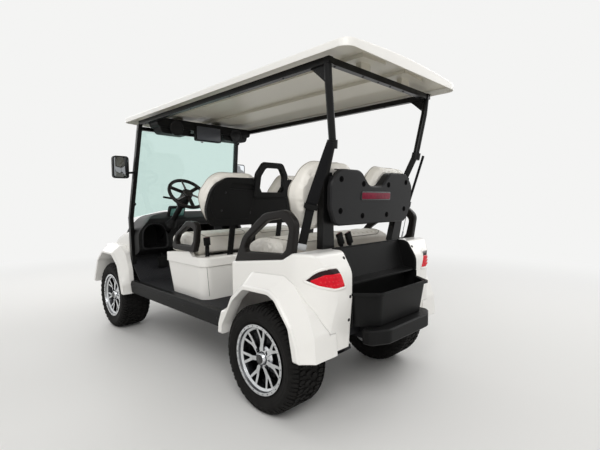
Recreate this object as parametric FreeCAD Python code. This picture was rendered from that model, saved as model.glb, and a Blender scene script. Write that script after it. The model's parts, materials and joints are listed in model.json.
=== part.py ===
"""Golf cart with a canopy, a forward-facing rear bench and a rear bag well.

Millimetres. +Z is up, the cart faces -Y and +X is its left, the driver's side.
Shapes are drawn with y = 0 at the rear axle and z = 0 on the ground, and each
node is moved by SHIFT on saving, so that the origin is the bottom centre of the
whole cart's box.
"""
import FreeCAD, Part
import math
import os

V = FreeCAD.Vector
GAP = 0.3                      # running gap between faces of different bodies

# Stance
WHEELBASE = 2112.0
FRONT_OVERHANG = 452.0         # front axle to the foremost point of the bumper
REAR_OVERHANG = 552.0          # rear axle to the rearmost point of the bumper
FRONT_AXLE = -WHEELBASE
SHIFT = (WHEELBASE + FRONT_OVERHANG - REAR_OVERHANG) / 2

# Body
BODY_HALF = 600.0              # half width of the rear body, which the other widths follow
FLARE_OUT = 64.0               # how far the flares stand out from the body
FLARE_HALF = BODY_HALF + FLARE_OUT
FLARE_ROLL = 12.0              # rolled outer edge of the flares
SKIN = 12.0
FLOOR_Z = 470.0
FLOOR_T = 14.0
FLOOR_HALF = BODY_HALF - 40
REAR_FRONT = -275.0            # front face of the rear body
REAR_BACK = 405.0
REAR_BOTTOM = 385.0
REAR_CORNER_R = 190.0
REAR_EDGE_R = 14.0             # softened upper edges of the rear body
DECK_Z = 886.0
REAR_SEAT_Z = 800.0
WELL_SIDE = 270.0              # width of the body beside the bag well
WELL_HALF = BODY_HALF - WELL_SIDE
WELL_FRONT = 262.0
POD_FRONT = -1195.0
POD_BACK = -655.0
POD_HALF = BODY_HALF - 40
POD_SEAT_Z = 766.0
POD_BAND_Z = 705.0             # lower edge of the band around the pod
POD_STEP = 7.0
POD_DRAFT = 34.0
PILLAR_X = BODY_HALF - 60      # windscreen pillars beside the dash
DASH_HALF = BODY_HALF - 60
DASH_FRONT = -1962.0
COWL_REAR = -1870.0

# Wheels and tyres
TYRE_R = 292.0
TYRE_W = 254.0
TYRE_X = BODY_HALF - 87        # middle plane of each tyre
BEAD_R = 178.0                 # where the tyre sits on the rim
LIP_R = 190.0
RIM_WALL = 7.0
HUB_FACE = TYRE_X + 32         # mounting face between the hub and the wheel
SPOKES = 7
HUB_R = 68.0
LUGS = 4
LUG_PCD = 101.6
LUG_POCKET_R = 12.0
CAP_R = 34.0
DRUM_R = 88.0

# Steering
KINGPIN_X = TYRE_X - 33
KINGPIN_R = 14.0
KINGPIN_FIT = 0.05
KINGPIN_LOW = 196.0
KINGPIN_HIGH = 388.0
WHEEL_HUB = (BODY_HALF - 330, -1353.0, 1206.0)
WHEEL_RING_R = 165.0
WHEEL_GRIP_R = 14.0
COLUMN_ANGLE = 42.0            # of the column above level
COLUMN_R = 24.0

# Seats
CUSHION_HALF = BODY_HALF - 72
BACK_HALF = BODY_HALF - 15
RECLINE = 8.0
PAD_T = 105.0                  # thickness of a padded back
PANEL_T = 26.0
BACK_FOOT_Z = 970.0            # foot of the front padded backs
FRONT_BACK_Y = -775.0          # front face of the front padded backs, at their foot
REAR_BACK_Y = 101.5
REAR_BACK_RISE = 12.0
ARM_HALF_T = 20.0

# Canopy
ROOF_HALF = BODY_HALF - 51
ROOF_TOP = 1888.0
ROOF_SHOULDER = ROOF_TOP - 26
ROOF_FRONT = -1960.0
ROOF_REAR = 541.0
ROOF_WALL = 7.0
RAIL_X = ROOF_HALF - 67
RAIL = 32.0
RAIL_Z = ROOF_TOP - 97
RAIL_TOP = RAIL_Z + RAIL
ROOF_LIP_Z = RAIL_TOP + GAP    # the canopy and its bands rest on the rails
FRONT_BAR_Y = -1640.0
REAR_BAR_Y = 354.0
BANDS = ((-300, -95), (95, 300))   # x of the steps under the canopy
BAND_T = 20.0
PILLAR = 34.0
SCREEN_T = 5.0
SCREEN_FOOT = (PILLAR_X, -1849.0, 1000.0)
SCREEN_HEAD = (RAIL_X + 11, -1706.0, RAIL_Z + 49)

# Rear struts
STRUT_R = 19.0
POST = (BODY_HALF - 267, 224.0)    # foot of each rear post on the deck
POST_TOP_Z = RAIL_Z - 501
POST_RUN = (POST_TOP_Z - DECK_Z) * 48 / 404    # the post leans back as the benches do
POST_TOP = (RAIL_X - 92, POST[1] + POST_RUN, POST_TOP_Z)
KNEE = (POST_TOP[0] + 24, POST_TOP[1] + 70, POST_TOP_Z + 150)
GUSSET = 88.0

# Frame
FRAME_X = BODY_HALF - 410
FRAME_W = 50.0
FRAME_Z = 340.0
FRAME_H = 80.0
FRAME_TOP = FRAME_Z + FRAME_H
FRAME_KICK = 60.0              # rise of the rails over the rear axle
FRAME_REAR = 440.0
MEMBER = 45.0                  # square section of the crossmembers
REAR_MEMBER_Z = FRAME_TOP + FRAME_KICK - MEMBER
AXLE_TUBE_R = 34.0
LEAF_TOP = 246.0               # top of the leaf spring under the axle
LEAF_T = 24.0
SPRING_X = TYRE_X - 198
EYE_R = 13.0                   # front towing eye
EYE_T = 12.0
EYE_Y = -2505.0

AXES = {"xy": V(0, 0, 1), "yz": V(1, 0, 0), "xz": V(0, 1, 0)}


def at(plane, u, v, w):
    """Point u, v in a plane that stands w along its normal."""
    return {"xy": V(u, v, w), "yz": V(w, u, v), "xz": V(u, w, v)}[plane]


def outline(corners, plane, w):
    """Closed wire through corners (u, v) or (u, v, radius), rounded by arcs."""
    points = [at(plane, c[0], c[1], w) for c in corners]
    radii = [c[2] if len(c) > 2 else 0 for c in corners]
    spans = []
    for i, point in enumerate(points):
        before, after = points[i - 1], points[(i + 1) % len(points)]
        a = (before - point).normalize()
        b = (after - point).normalize()
        half = a.getAngle(b) / 2
        if radii[i] <= 0 or abs(half - math.pi / 2) < 1e-4:
            spans.append((point, None, point))
            continue
        reach = radii[i] / math.tan(half)
        inward = (a + b).normalize()
        middle = point + inward * (radii[i] / math.sin(half) - radii[i])
        spans.append((point + a * reach, middle, point + b * reach))
    edges = []
    for i, (start, middle, end) in enumerate(spans):
        if middle is not None:
            edges.append(Part.Arc(start, middle, end).toShape())
        following = spans[(i + 1) % len(spans)][0]
        if (following - end).Length > 1e-4:
            edges.append(Part.LineSegment(end, following).toShape())
    return Part.Wire(edges)


def slab(corners, plane, low, high):
    """Solid between low and high along the plane's normal."""
    face = Part.Face(outline(corners, plane, low))
    return face.extrude(AXES[plane] * (high - low))


def box(x0, x1, y0, y1, z0, z1):
    return Part.makeBox(x1 - x0, y1 - y0, z1 - z0, V(x0, y0, z0))


def rod(start, end, radius):
    start, end = V(*start), V(*end)
    return Part.makeCylinder(radius, (end - start).Length, start, end - start)


def bar(start, end, width, depth, up=(0, 1, 0)):
    """Straight rectangular bar from start to end, its depth along up."""
    start, end, up = V(*start), V(*end), V(*up)
    along = (end - start).normalize()
    side = along.cross(up).normalize() * (width / 2)
    rise = side.cross(along).normalize() * (depth / 2)
    ring = [start + side + rise, start - side + rise, start - side - rise, start + side - rise]
    face = Part.Face(Part.makePolygon(ring + ring[:1]))
    return face.extrude(end - start)


def bent_rod(points, radius, bend):
    """Round tube along straight runs joined by arcs of one bend radius."""
    points = [V(*p) for p in points]
    runs, edges = [points[0]], []
    for before, point, after in zip(points, points[1:], points[2:]):
        a = (before - point).normalize()
        b = (after - point).normalize()
        half = a.getAngle(b) / 2
        reach = bend / math.tan(half)
        middle = point + (a + b).normalize() * (bend / math.sin(half) - bend)
        edges.append(Part.LineSegment(runs[-1], point + a * reach).toShape())
        edges.append(Part.Arc(point + a * reach, middle, point + b * reach).toShape())
        runs.append(point + b * reach)
    edges.append(Part.LineSegment(runs[-1], points[-1]).toShape())
    circle = Part.Wire(Part.makeCircle(radius, points[0], points[1] - points[0]))
    return Part.Wire(edges).makePipeShell([circle], True, False)


def fused(*parts):
    body = parts[0]
    for part in parts[1:]:
        body = body.fuse(part)
    return body.removeSplitter()


def mirrored(shape):
    return shape.mirror(V(0, 0, 0), V(1, 0, 0))


def pair(shape):
    """The left piece and its mirror image, as two solids of one node."""
    return Part.makeCompound([shape, mirrored(shape)])


def turned(shape, angle, pivot, axis=(1, 0, 0)):
    shape = shape.copy()
    shape.rotate(V(*pivot), V(*axis), angle)
    return shape


def on_plane(edge, x):
    """Whether an edge lies in the plane across X at x."""
    box_ = edge.BoundBox
    return abs(box_.XMin - x) < 1e-3 and abs(box_.XMax - x) < 1e-3


def both_sides(corners):
    """Outline of the left half, front to back, closed by its mirror image."""
    return corners + [(-c[0],) + tuple(c[1:]) for c in reversed(corners)]


# Body shells

def rear_form(inset):
    """Outer form of the rear body, drawn in by inset on every side but the bottom."""
    half = BODY_HALF - inset
    back = REAR_BACK - inset
    corner = REAR_CORNER_R - inset
    plan = both_sides([(half, REAR_FRONT + inset, 20), (half, back, corner)])
    side = [(REAR_FRONT + inset, REAR_BOTTOM), (REAR_FRONT + inset, REAR_SEAT_Z - 3 - inset),
            (165, DECK_Z - 36 - inset, 20), (232, DECK_Z - inset, 20),
            (338 - inset, DECK_Z - inset, 40), (402 - inset, 782, 90), (402 - inset, 640, 200),
            (380 - inset, REAR_BOTTOM)]
    block = slab(plan, "xy", REAR_BOTTOM, DECK_Z + 10)
    return block.common(slab(side, "yz", -BODY_HALF, BODY_HALF))


# Wheel opening as the photograph's side shows it: y from the axle, height, corner radius
REAR_ARCH = [(-305, 300), (-285, 430, 60), (-185, 585, 60), (-85, 668, 60), (120, 672, 50),
             (172, 650, 50), (272, 530, 60), (322, 300)]
FRONT_ARCH = [(-345, 300), (-322, 400, 60), (-232, 592, 60), (-110, 676, 60), (110, 676, 60),
              (232, 592, 60), (316, 360, 60), (322, 300)]
# Foot of the flare on the body, and the edge of its outer face
REAR_FLARE_FOOT = [(-348, 372), (-338, 440, 15), (-308, 522, 15), (-258, 540, 15),
                   (-215, 640, 30), (-78, 760, 50), (190, 772, 50), (250, 735, 50),
                   (348, 600, 60), (388, 500, 60), (398, 372)]
REAR_FLARE_EDGE = [(-336, 372), (-328, 435, 15), (-300, 508, 15), (-246, 526, 15),
                   (-204, 604, 40), (-92, 694, 50), (128, 698, 50), (186, 668, 50),
                   (292, 540, 60), (328, 450, 60), (342, 372)]
FRONT_FLARE_FOOT = [(-382, 380), (-376, 440, 20), (-330, 590, 60), (-150, 756, 60),
                    (150, 756, 60), (262, 690, 60), (318, 560, 60), (336, 440, 20), (338, 352)]
FRONT_FLARE_EDGE = [(-366, 380), (-350, 430, 20), (-256, 606, 60), (-118, 700, 60),
                    (118, 700, 60), (244, 606, 60), (300, 500, 60), (330, 430, 20), (334, 352)]


def shifted(corners, offset):
    return [(c[0] + offset,) + tuple(c[1:]) for c in corners]


def flare(foot, edge, arch, axle_y, inner, body):
    """Wheel-arch flare: sloped from its foot on the body to a rolled outer edge."""
    sections = [outline(shifted(foot, axle_y), "yz", BODY_HALF - 2),
                outline(shifted(edge, axle_y), "yz", FLARE_HALF - FLARE_ROLL)]
    slope = Part.makeLoft(sections, True, True)
    lip = slab(shifted(edge, axle_y), "yz", FLARE_HALF - FLARE_ROLL, FLARE_HALF)
    lip = lip.makeChamfer(FLARE_ROLL * 0.7, [e for e in lip.Edges if on_plane(e, FLARE_HALF)])
    root = slab(shifted(foot, axle_y), "yz", inner, BODY_HALF - 2)
    opening = slab(shifted(arch, axle_y), "yz", inner - 10, FLARE_HALF + 10)
    return slope.fuse(lip).fuse(root).cut(opening).cut(body)


def rear_body():
    """Hollow rear moulding: seat base, side rails, wheel openings and load opening."""
    shell = rear_form(0)
    shell = shell.makeFillet(REAR_EDGE_R, [e for e in shell.Edges if e.BoundBox.ZMin > 780])
    cavity = rear_form(SKIN)
    cavity = cavity.cut(box(-BODY_HALF, BODY_HALF, REAR_FRONT, 183,
                            REAR_SEAT_Z - SKIN, DECK_Z + 20))
    recess = box(-CUSHION_HALF - 6, CUSHION_HALF + 6, REAR_FRONT - 5, 195,
                 REAR_SEAT_Z, DECK_Z + 20)
    well = box(-WELL_HALF, WELL_HALF, WELL_FRONT, REAR_BACK + 50, REAR_BOTTOM - 5, DECK_Z + 20)
    sill = box(-FLOOR_HALF, FLOOR_HALF, REAR_FRONT - 5, REAR_FRONT + SKIN + 5,
               REAR_BOTTOM - 5, FLOOR_Z - FLOOR_T)
    shell = shell.cut(cavity).cut(recess).cut(well).cut(sill)
    for side in (1, -1):
        arch = slab(REAR_ARCH, "yz", side * (BODY_HALF - 260), side * (BODY_HALF + 10))
        shell = shell.cut(arch).cut(lamp_prism(side))
    return shell


# Tail lamp seen from behind: x, z, corner radius
TAIL_LAMP = [(BODY_HALF - 18, 764, 6), (BODY_HALF - 80, 800, 60), (BODY_HALF - 170, 810, 12),
             (BODY_HALF - 214, 714, 14), (BODY_HALF - 130, 700, 60)]


def lamp_prism(side):
    shape = slab(TAIL_LAMP, "xz", REAR_BACK - 155, REAR_BACK + 20)
    return shape if side > 0 else mirrored(shape)


def tail_lamps():
    lamp = lamp_prism(1).common(rear_form(4)).cut(rear_form(34))
    return pair(lamp)





def pod_form(inset):
    """Seat base: narrower at the floor, with an upright band around its top."""
    def plan(draft, z):
        half, front, back = POD_HALF - inset - draft, POD_FRONT + inset + draft, POD_BACK - inset - draft
        return outline(both_sides([(half, front, 55), (half, back, 70)]), "xy", z)

    lower = Part.makeLoft([plan(POD_DRAFT, FLOOR_Z), plan(POD_STEP, POD_BAND_Z)], True, True)
    upper = Part.Face(plan(0, POD_BAND_Z)).extrude(V(0, 0, 810 - POD_BAND_Z))
    side = [(POD_FRONT + inset, FLOOR_Z), (POD_FRONT + inset, 766 - inset, 20),
            (-825, 800 - inset, 15), (-790, POD_SEAT_Z - inset, 15),
            (POD_BACK - inset, POD_SEAT_Z - inset, 12), (POD_BACK - inset, FLOOR_Z)]
    return lower.fuse(upper).common(slab(side, "yz", -POD_HALF, POD_HALF))


def seat_pod():
    inner = pod_form(SKIN).cut(box(-POD_HALF, POD_HALF, POD_FRONT, POD_BACK,
                                   POD_SEAT_Z - SKIN, 820))
    hatch = box(-POD_HALF + 120, POD_HALF - 120, POD_FRONT + 60, POD_BACK - 90, POD_SEAT_Z - 40, 820)
    recess = box(-CUSHION_HALF - 6, CUSHION_HALF + 6, POD_FRONT - 5, POD_BACK + 5,
                 POD_SEAT_Z, 820)
    return pod_form(0).cut(inner).cut(hatch).cut(recess)


# Nose sections: y, half width, height at the side, height of the crown, corner radius
NOSE = [(COWL_REAR, BODY_HALF - 44, 905, 985, 70), (-2050, BODY_HALF - 52, 872, 950, 80),
        (-2300, BODY_HALF - 80, 790, 850, 90), (-2480, BODY_HALF - 148, 700, 738, 90)]


def nose_section(y, half, side_z, crown_z, radius, inset, bottom=430):
    """Arched section: upright sides, rounded shoulders and a crowned top."""
    half, side_z, crown_z = half - inset, side_z - inset, crown_z - inset
    lean = radius * 0.9
    left = V(half - lean, y, side_z)
    right = V(-half + lean, y, side_z)
    shoulder = lean * (1 - math.sqrt(0.5))
    return Part.Wire([
        Part.LineSegment(V(-half, y, bottom), V(half, y, bottom)).toShape(),
        Part.LineSegment(V(half, y, bottom), V(half, y, side_z - lean)).toShape(),
        Part.Arc(V(half, y, side_z - lean), V(half - shoulder, y, side_z - shoulder),
                 left).toShape(),
        Part.Arc(left, V(0, y, crown_z), right).toShape(),
        Part.Arc(right, V(-half + shoulder, y, side_z - shoulder),
                 V(-half, y, side_z - lean)).toShape(),
        Part.LineSegment(V(-half, y, side_z - lean), V(-half, y, bottom)).toShape()])


def nose_form(inset):
    wires = []
    for y, half, side_z, crown_z, radius in NOSE:
        wires.append(nose_section(y + inset * (y == NOSE[-1][0]), half, side_z, crown_z,
                                  radius, inset))
    return Part.makeLoft(wires, True, False)


def front_cowl():
    """Hollow white nose: crowned bonnet, wheel openings, lamp and grille apertures."""
    shell = nose_form(0).cut(nose_form(SKIN))
    shell = shell.cut(box(-DASH_HALF - GAP, DASH_HALF + GAP, DASH_FRONT - GAP, COWL_REAR + 10,
                          425, 1100))
    for side in (1, -1):
        arch = slab(shifted(FRONT_ARCH, FRONT_AXLE), "yz", side * 240, side * (BODY_HALF + 10))
        lamp = slab(HEADLAMP, "xz", -2520, -2380)
        shell = shell.cut(arch).cut(lamp if side > 0 else mirrored(lamp))
    grille = slab(both_sides(GRILLE), "xz", -2520, -2450)
    for z in (517, 541, 565, 589):
        grille = grille.cut(box(-BODY_HALF, BODY_HALF, -2520, -2450, z - 5, z + 5))
    return shell.cut(grille)


# Headlamp, and half of the grille, seen from in front: x, z, corner radius
HEADLAMP = [(BODY_HALF - 330, 600, 20), (BODY_HALF - 190, 580, 30), (BODY_HALF - 175, 655, 20),
            (BODY_HALF - 300, 680, 30)]
GRILLE = [(BODY_HALF - 390, 500, 20), (BODY_HALF - 350, 604, 20)]


def headlamps():
    bowl = nose_form(5).cut(nose_form(60))
    lamp = slab(HEADLAMP, "xz", -2515, -2390)
    return pair(lamp.common(bowl))


def fenders():
    """Flares of the four wheel openings, as four solids."""
    rear = flare(REAR_FLARE_FOOT, REAR_FLARE_EDGE, REAR_ARCH, 0, BODY_HALF - 160, rear_form(0))
    rear = rear.cut(box(0, BODY_HALF - 10, REAR_FRONT - 100, REAR_FRONT, 300, 800))
    front = flare(FRONT_FLARE_FOOT, FRONT_FLARE_EDGE, FRONT_ARCH, FRONT_AXLE, BODY_HALF - 100,
                  nose_form(0))
    front = front.cut(box(0, FLOOR_HALF, COWL_REAR, FRONT_AXLE + 400, 300, 800))
    return Part.makeCompound([rear, mirrored(rear), front, mirrored(front)])


def front_bumper():
    """Wrap-around bumper that sits on the ends of the frame rails."""
    low = FRAME_TOP + GAP
    plan = both_sides([(BODY_HALF - 170, -2396, 10), (BODY_HALF - 110, -2480, 60),
                       (BODY_HALF - 260, FRONT_AXLE - FRONT_OVERHANG, 90)])
    outer = slab(plan, "xy", low, 520)
    outer = outer.makeChamfer(9, [e for e in outer.Edges if e.BoundBox.ZMin > 519])
    inner = slab(both_sides([(BODY_HALF - 190, -2370, 10), (BODY_HALF - 150, -2470, 60),
                             (BODY_HALF - 290, -2520, 60)]), "xy", low + SKIN, 540)
    return outer.cut(inner).cut(nose_form(-GAP))


# Floor and sides

def floor_pan():
    top = [(REAR_FRONT - GAP, FLOOR_Z), (-1650, FLOOR_Z, 120), (-1835, 640, 60), (-1842, 690)]
    under = [(-1856, 690), (-1849, 634, 74), (-1657, FLOOR_Z - FLOOR_T, 134),
             (REAR_FRONT - GAP, FLOOR_Z - FLOOR_T)]
    pan = slab(top + under, "yz", -FLOOR_HALF + 6, FLOOR_HALF - 6)
    pillar = box(PILLAR_X - 19, PILLAR_X + 20, -1860, -1795, 590, 700)
    return pan.cut(pillar).cut(mirrored(pillar))


def rocker_panels():
    inner = FLOOR_HALF - 6
    section = [(inner, 372, 6), (BODY_HALF - 8, 362, 10), (BODY_HALF + 3, 440, 10),
               (BODY_HALF - 6, FLOOR_Z - GAP, 10),
               (inner, FLOOR_Z - GAP, 2)]
    return pair(slab(section, "xz", -1745, REAR_FRONT - 80))


def dashboard():
    """Crowned dash moulding with an arched cubby on each side of the column."""
    side = [(DASH_FRONT, 700), (DASH_FRONT, 930), (-1945, 1046, 30), (-1872, 1046, 20),
            (-1712, 985, 50), (-1694, 720, 30), (-1800, 668, 30), (-1842, 690)]
    arch = both_sides([(DASH_HALF, 668), (DASH_HALF, 880, 120), (DASH_HALF - 120, 1010, 160),
                       (DASH_HALF - 340, 1046, 300)])
    body = slab(side, "yz", -DASH_HALF, DASH_HALF).common(slab(arch, "xz", -1970, -1690))
    for x in (DASH_HALF - 145, 145 - DASH_HALF):
        pocket = slab([(x - 105, 742, 30), (x + 105, 742, 30), (x + 98, 940, 90),
                       (x - 98, 940, 90)], "xz", -1890, -1680)
        body = body.cut(pocket)
    shelf = slab([(-200, 800, 30), (170, 800, 30), (170, 920, 30), (-200, 920, 30)],
                 "xz", -1860, -1680)
    hub = V(*WHEEL_HUB)
    shaft = Part.makeCylinder(COLUMN_R + GAP, 600, hub - column_axis() * 620, column_axis())
    pillar = box(PILLAR_X - 20, PILLAR_X + 20, COWL_REAR, -1790, 600, 1100)
    return body.cut(shelf).cut(shaft).cut(pillar).cut(mirrored(pillar))


# Seats: backrest outlines seen from behind, left half, x, z, corner radius
FRONT_PANEL = [(BACK_HALF - 85, 992, 60), (BACK_HALF - 37, 1100, 130), (BACK_HALF - 80, 1270, 150),
               (BACK_HALF - 205, 1324, 90), (150, 1324, 70), (76, 1212, 40)]
REAR_PANEL = [(BACK_HALF - 235, 1012, 60), (BACK_HALF - 187, 1110, 90), (BACK_HALF - 183, 1240, 70),
              (BACK_HALF - 255, 1312, 80), (150, 1312, 90), (60, 1228, 60)]
CUSHION_BACK = [(14, 975, 30), (BACK_HALF - 115, 965, 110), (BACK_HALF - 41, 1080, 120),
                (BACK_HALF, 1200, 130), (BACK_HALF - 115, 1376, 180), (130, 1378, 110),
                (30, 1240, 40)]
GRIP = [(140, 1236, 14), (BACK_HALF - 205, 1250, 10), (BACK_HALF - 230, 1292, 20), (160, 1280, 14)]


def reclined(shape, foot_y, rise):
    """A back drawn upright in front view, leaning back about its foot."""
    shape = turned(shape, -RECLINE, (0, foot_y, BACK_FOOT_Z))
    shape.translate(V(0, 0, rise))
    return shape


def padded_backs(foot_y, rise):
    """Left and right padded backs with rounded rims."""
    block = slab(CUSHION_BACK, "xz", foot_y, foot_y + PAD_T)
    rims = [e for e in block.Edges if e.BoundBox.YLength < 1e-3]
    return pair(reclined(block.makeFillet(PAD_T * 0.32, rims), foot_y, rise))


def back_shell(panel, start, foot_y, rise):
    return reclined(slab(both_sides(panel), "xz", start, start + PANEL_T), foot_y, rise)





def front_back_panel():
    """Rear shell of the front seats with the grab hoop between them and its four posts."""
    back = FRONT_BACK_Y + PAD_T + GAP
    shell = back_shell(FRONT_PANEL, back, FRONT_BACK_Y, 0)
    grip = slab(GRIP, "xz", back + PANEL_T - 12, back + PANEL_T + 5)
    for recess in (grip, mirrored(grip)):
        shell = shell.cut(reclined(recess, FRONT_BACK_Y, 0))
    hoop = slab(both_sides([(162, 1185, 10), (150, 1360, 60), (92, 1446, 50)]),
                "xz", back, back + 38)
    hole = slab(both_sides([(118, 1226, 30), (112, 1344, 40), (72, 1404, 30)]),
                "xz", back - 10, back + 50)
    rims = [e for e in hoop.Edges if e.BoundBox.YLength < 1e-3 and e.BoundBox.ZMax > 1200]
    hoop = hoop.makeChamfer(6, rims)
    body = shell.fuse(reclined(hoop.cut(hole), FRONT_BACK_Y, 0))
    for x in (125, 315, -125, -315):
        post = bar((x, POD_BACK - 42, POD_SEAT_Z - 20), (x, back + 24, 1030), 40, 14)
        body = body.fuse(post.cut(box(-400, 400, -900, -500, 700, POD_SEAT_Z + GAP)))
    return body.removeSplitter()


def cushion_block(y0, y1, z0, z1):
    side = [(y0, z0, 20), (y0 + 8, z1 - 22, 45), ((y0 + y1) / 2, z1, 300), (y1, z1 - 12, 35),
            (y1, z0, 20)]
    block = slab(side, "yz", -CUSHION_HALF, CUSHION_HALF)
    ends = [e for e in block.Edges if on_plane(e, CUSHION_HALF) or on_plane(e, -CUSHION_HALF)]
    return block.makeFillet(15, ends)


def front_seat_cushion():
    return cushion_block(POD_FRONT + 2, -790, POD_SEAT_Z + GAP, 912)


def rear_seat_cushion():
    return cushion_block(REAR_FRONT + 30, 88, REAR_SEAT_Z + GAP, 930)


def backrests():
    """The padded backs of both benches, as four solids."""
    rows = ((FRONT_BACK_Y, 0), (REAR_BACK_Y, REAR_BACK_RISE))
    return Part.makeCompound([padded_backs(y, rise) for y, rise in rows])


def rear_back_panel():
    """Rear cover on the outside of the posts, less reclined than the padded backs."""
    cover = slab(both_sides(REAR_PANEL), "xz", 284, 284 + PANEL_T)
    rims = [e for e in cover.Edges if e.BoundBox.YMin > 283 + PANEL_T]
    cover = turned(cover.makeChamfer(7, rims), -3.5, (0, 284, 1000))
    for s in (1, -1):
        for z, y, x in ((1090, 262, POST[0] + 19), (1230, 276, POST[0] + 37)):
            cover = cover.fuse(box(s * x - 14, s * x + 14, y, 300, z, z + 40))
    return cover.cut(rear_post(1)).cut(rear_post(-1))


# Armrest loops seen from the side: y, z, corner radius
FRONT_ARM = [(-1062, 800, 30), (-990, 915, 60), (-830, 1012, 70), (-690, 1006, 50),
             (-712, 870, 40), (-740, 800, 20)]
FRONT_ARM_HOLE = [(-1000, 842, 20), (-958, 905, 50), (-822, 972, 50), (-735, 962, 30),
                  (-752, 872, 30), (-780, 842, 20)]
REAR_ARM = [(-252, 784), (-165, 950, 120), (20, 1082, 120), (190, 1104, 90),
            (262, 1040, 60), (238, 880, 60), (232, 826)]
REAR_ARM_HOLE = [(-165, 862, 20), (-118, 935, 90), (42, 1040, 100), (160, 1058, 50),
                 (215, 1010, 40), (188, 900, 40), (160, 878, 20)]


def armrests():
    """Four loops with softened edges: front pair on the pod, rear pair on the body."""
    loops = []
    for edge, hole, x in ((FRONT_ARM, FRONT_ARM_HOLE, POD_HALF - 4),
                          (REAR_ARM, REAR_ARM_HOLE, BODY_HALF - 22)):
        loop = slab(edge, "yz", x - ARM_HALF_T, x + ARM_HALF_T)
        loop = loop.cut(slab(hole, "yz", x - 30, x + 30))
        rims = [e for e in loop.Edges if on_plane(e, x - ARM_HALF_T) or on_plane(e, x + ARM_HALF_T)]
        loop = loop.makeFillet(9, rims).cut(rear_form(0))
        loops += [loop, mirrored(loop)]
    return Part.makeCompound(loops)


# Rear load space

def bag_well():
    """Black liner: sloped front wall, shelf and side cheeks, open at the top and back."""
    sheet = [(WELL_FRONT, DECK_Z - 2), (WELL_FRONT + 10, DECK_Z - 2), (318, 726), (388, 716),
             (388, 706), (308, 716)]
    body = slab(sheet, "yz", -WELL_HALF + GAP, WELL_HALF - GAP)
    cheek = [(WELL_FRONT, DECK_Z - 4), (336, DECK_Z - 6, 30), (398, 782, 60), (398, 706),
             (308, 706)]
    for side in (1, -1):
        x = side * (WELL_HALF - GAP)
        body = body.fuse(slab(cheek, "yz", x - side * 14, x))
    return body.removeSplitter()


def basket_plan(grow):
    return both_sides([(WELL_HALF + grow, 370), (WELL_HALF + grow, 403, 60),
                       (WELL_HALF - 90 + grow, REAR_OVERHANG - 32 + grow, 45)])


def basket():
    low, high = 488.0, 668.0
    outer = Part.makeLoft([outline(basket_plan(-28), "xy", low),
                           outline(basket_plan(-6), "xy", high)], True, True)
    inner = Part.makeLoft([outline(basket_plan(-36), "xy", low + 8),
                           outline(basket_plan(-14), "xy", high + 8)], True, True)
    rim = slab(basket_plan(8), "xy", high - 12, high).cut(
        slab(basket_plan(-14), "xy", high - 20, high + 8))
    return outer.cut(inner).fuse(rim).cut(rear_form(0))


def rear_bumper():
    plan = both_sides([(BODY_HALF / 2, FRAME_REAR, 10), (BODY_HALF / 2, 500, 40),
                       (BODY_HALF / 3, REAR_OVERHANG, 60)])
    block = slab(plan, "xy", REAR_MEMBER_Z - 30, REAR_MEMBER_Z + MEMBER + 4)
    return block.makeChamfer(8, [e for e in block.Edges if e.BoundBox.YMin > FRAME_REAR + 5
                                 and e.BoundBox.ZLength < 1e-3])


def bumpers():
    return Part.makeCompound([front_bumper(), rear_bumper()])


# Canopy

def roof_form(inset, edge_r):
    """Crowned canopy: an arched section cut to the rounded plan, its top edge rounded."""
    half, shoulder, crown = ROOF_HALF - inset, ROOF_SHOULDER - inset, ROOF_TOP - inset
    plan = [(half, ROOF_REAR - inset, 60 - inset), (half, -1904 + inset, 50 - inset),
            (half * 0.55, ROOF_FRONT + inset, 900), (-half * 0.55, ROOF_FRONT + inset, 900),
            (-half, -1904 + inset, 50 - inset), (-half, ROOF_REAR - inset, 60 - inset)]
    y = ROOF_FRONT - 10
    ends = [V(ROOF_HALF + 5, y, ROOF_LIP_Z), V(ROOF_HALF + 5, y, shoulder),
            V(-ROOF_HALF - 5, y, shoulder), V(-ROOF_HALF - 5, y, ROOF_LIP_Z)]
    section = Part.Wire([Part.LineSegment(ends[0], ends[1]).toShape(),
                         Part.Arc(ends[1], V(0, y, crown), ends[2]).toShape(),
                         Part.LineSegment(ends[2], ends[3]).toShape(),
                         Part.LineSegment(ends[3], ends[0]).toShape()])
    arch = Part.Face(section).extrude(V(0, ROOF_REAR - ROOF_FRONT + 20, 0))
    form = arch.common(slab(plan, "xy", ROOF_LIP_Z, ROOF_TOP + 10))
    if edge_r:
        top = max(form.Faces, key=lambda f: f.CenterOfMass.z)
        form = form.makeFillet(edge_r, top.Edges)
    return form


def roof():
    """Canopy tray: stepped lengthwise bands underneath and a pad on each end of the crossbars."""
    inner = roof_form(ROOF_WALL, 0)
    shell = roof_form(0, 13).cut(inner)
    skin = roof_form(ROOF_WALL / 2, 0)
    band_skin = skin.cut(roof_form(ROOF_WALL + BAND_T, 0))
    for x0, x1 in BANDS:
        band = box(x0, x1, SCREEN_HEAD[1] - 60, ROOF_REAR - 100, ROOF_LIP_Z, ROOF_TOP + 10)
        shell = shell.fuse(band.common(band_skin))
        for y in (FRONT_BAR_Y, REAR_BAR_Y):
            pad = box(x0 + 60, x1 - 60, y, y + RAIL, ROOF_LIP_Z, ROOF_TOP + 10)
            shell = shell.fuse(pad.common(skin))
    return shell.removeSplitter()


def roof_frame():
    """Side rails and end crossbars under the canopy."""
    rails = [box(s * RAIL_X - RAIL / 2, s * RAIL_X + RAIL / 2, SCREEN_HEAD[1] - 26, 392,
                 RAIL_Z, RAIL_TOP) for s in (1, -1)]
    bars = [box(-RAIL_X, RAIL_X, y, y + RAIL, RAIL_Z, RAIL_TOP) for y in (FRONT_BAR_Y, REAR_BAR_Y)]
    return fused(*(rails + bars))


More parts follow.
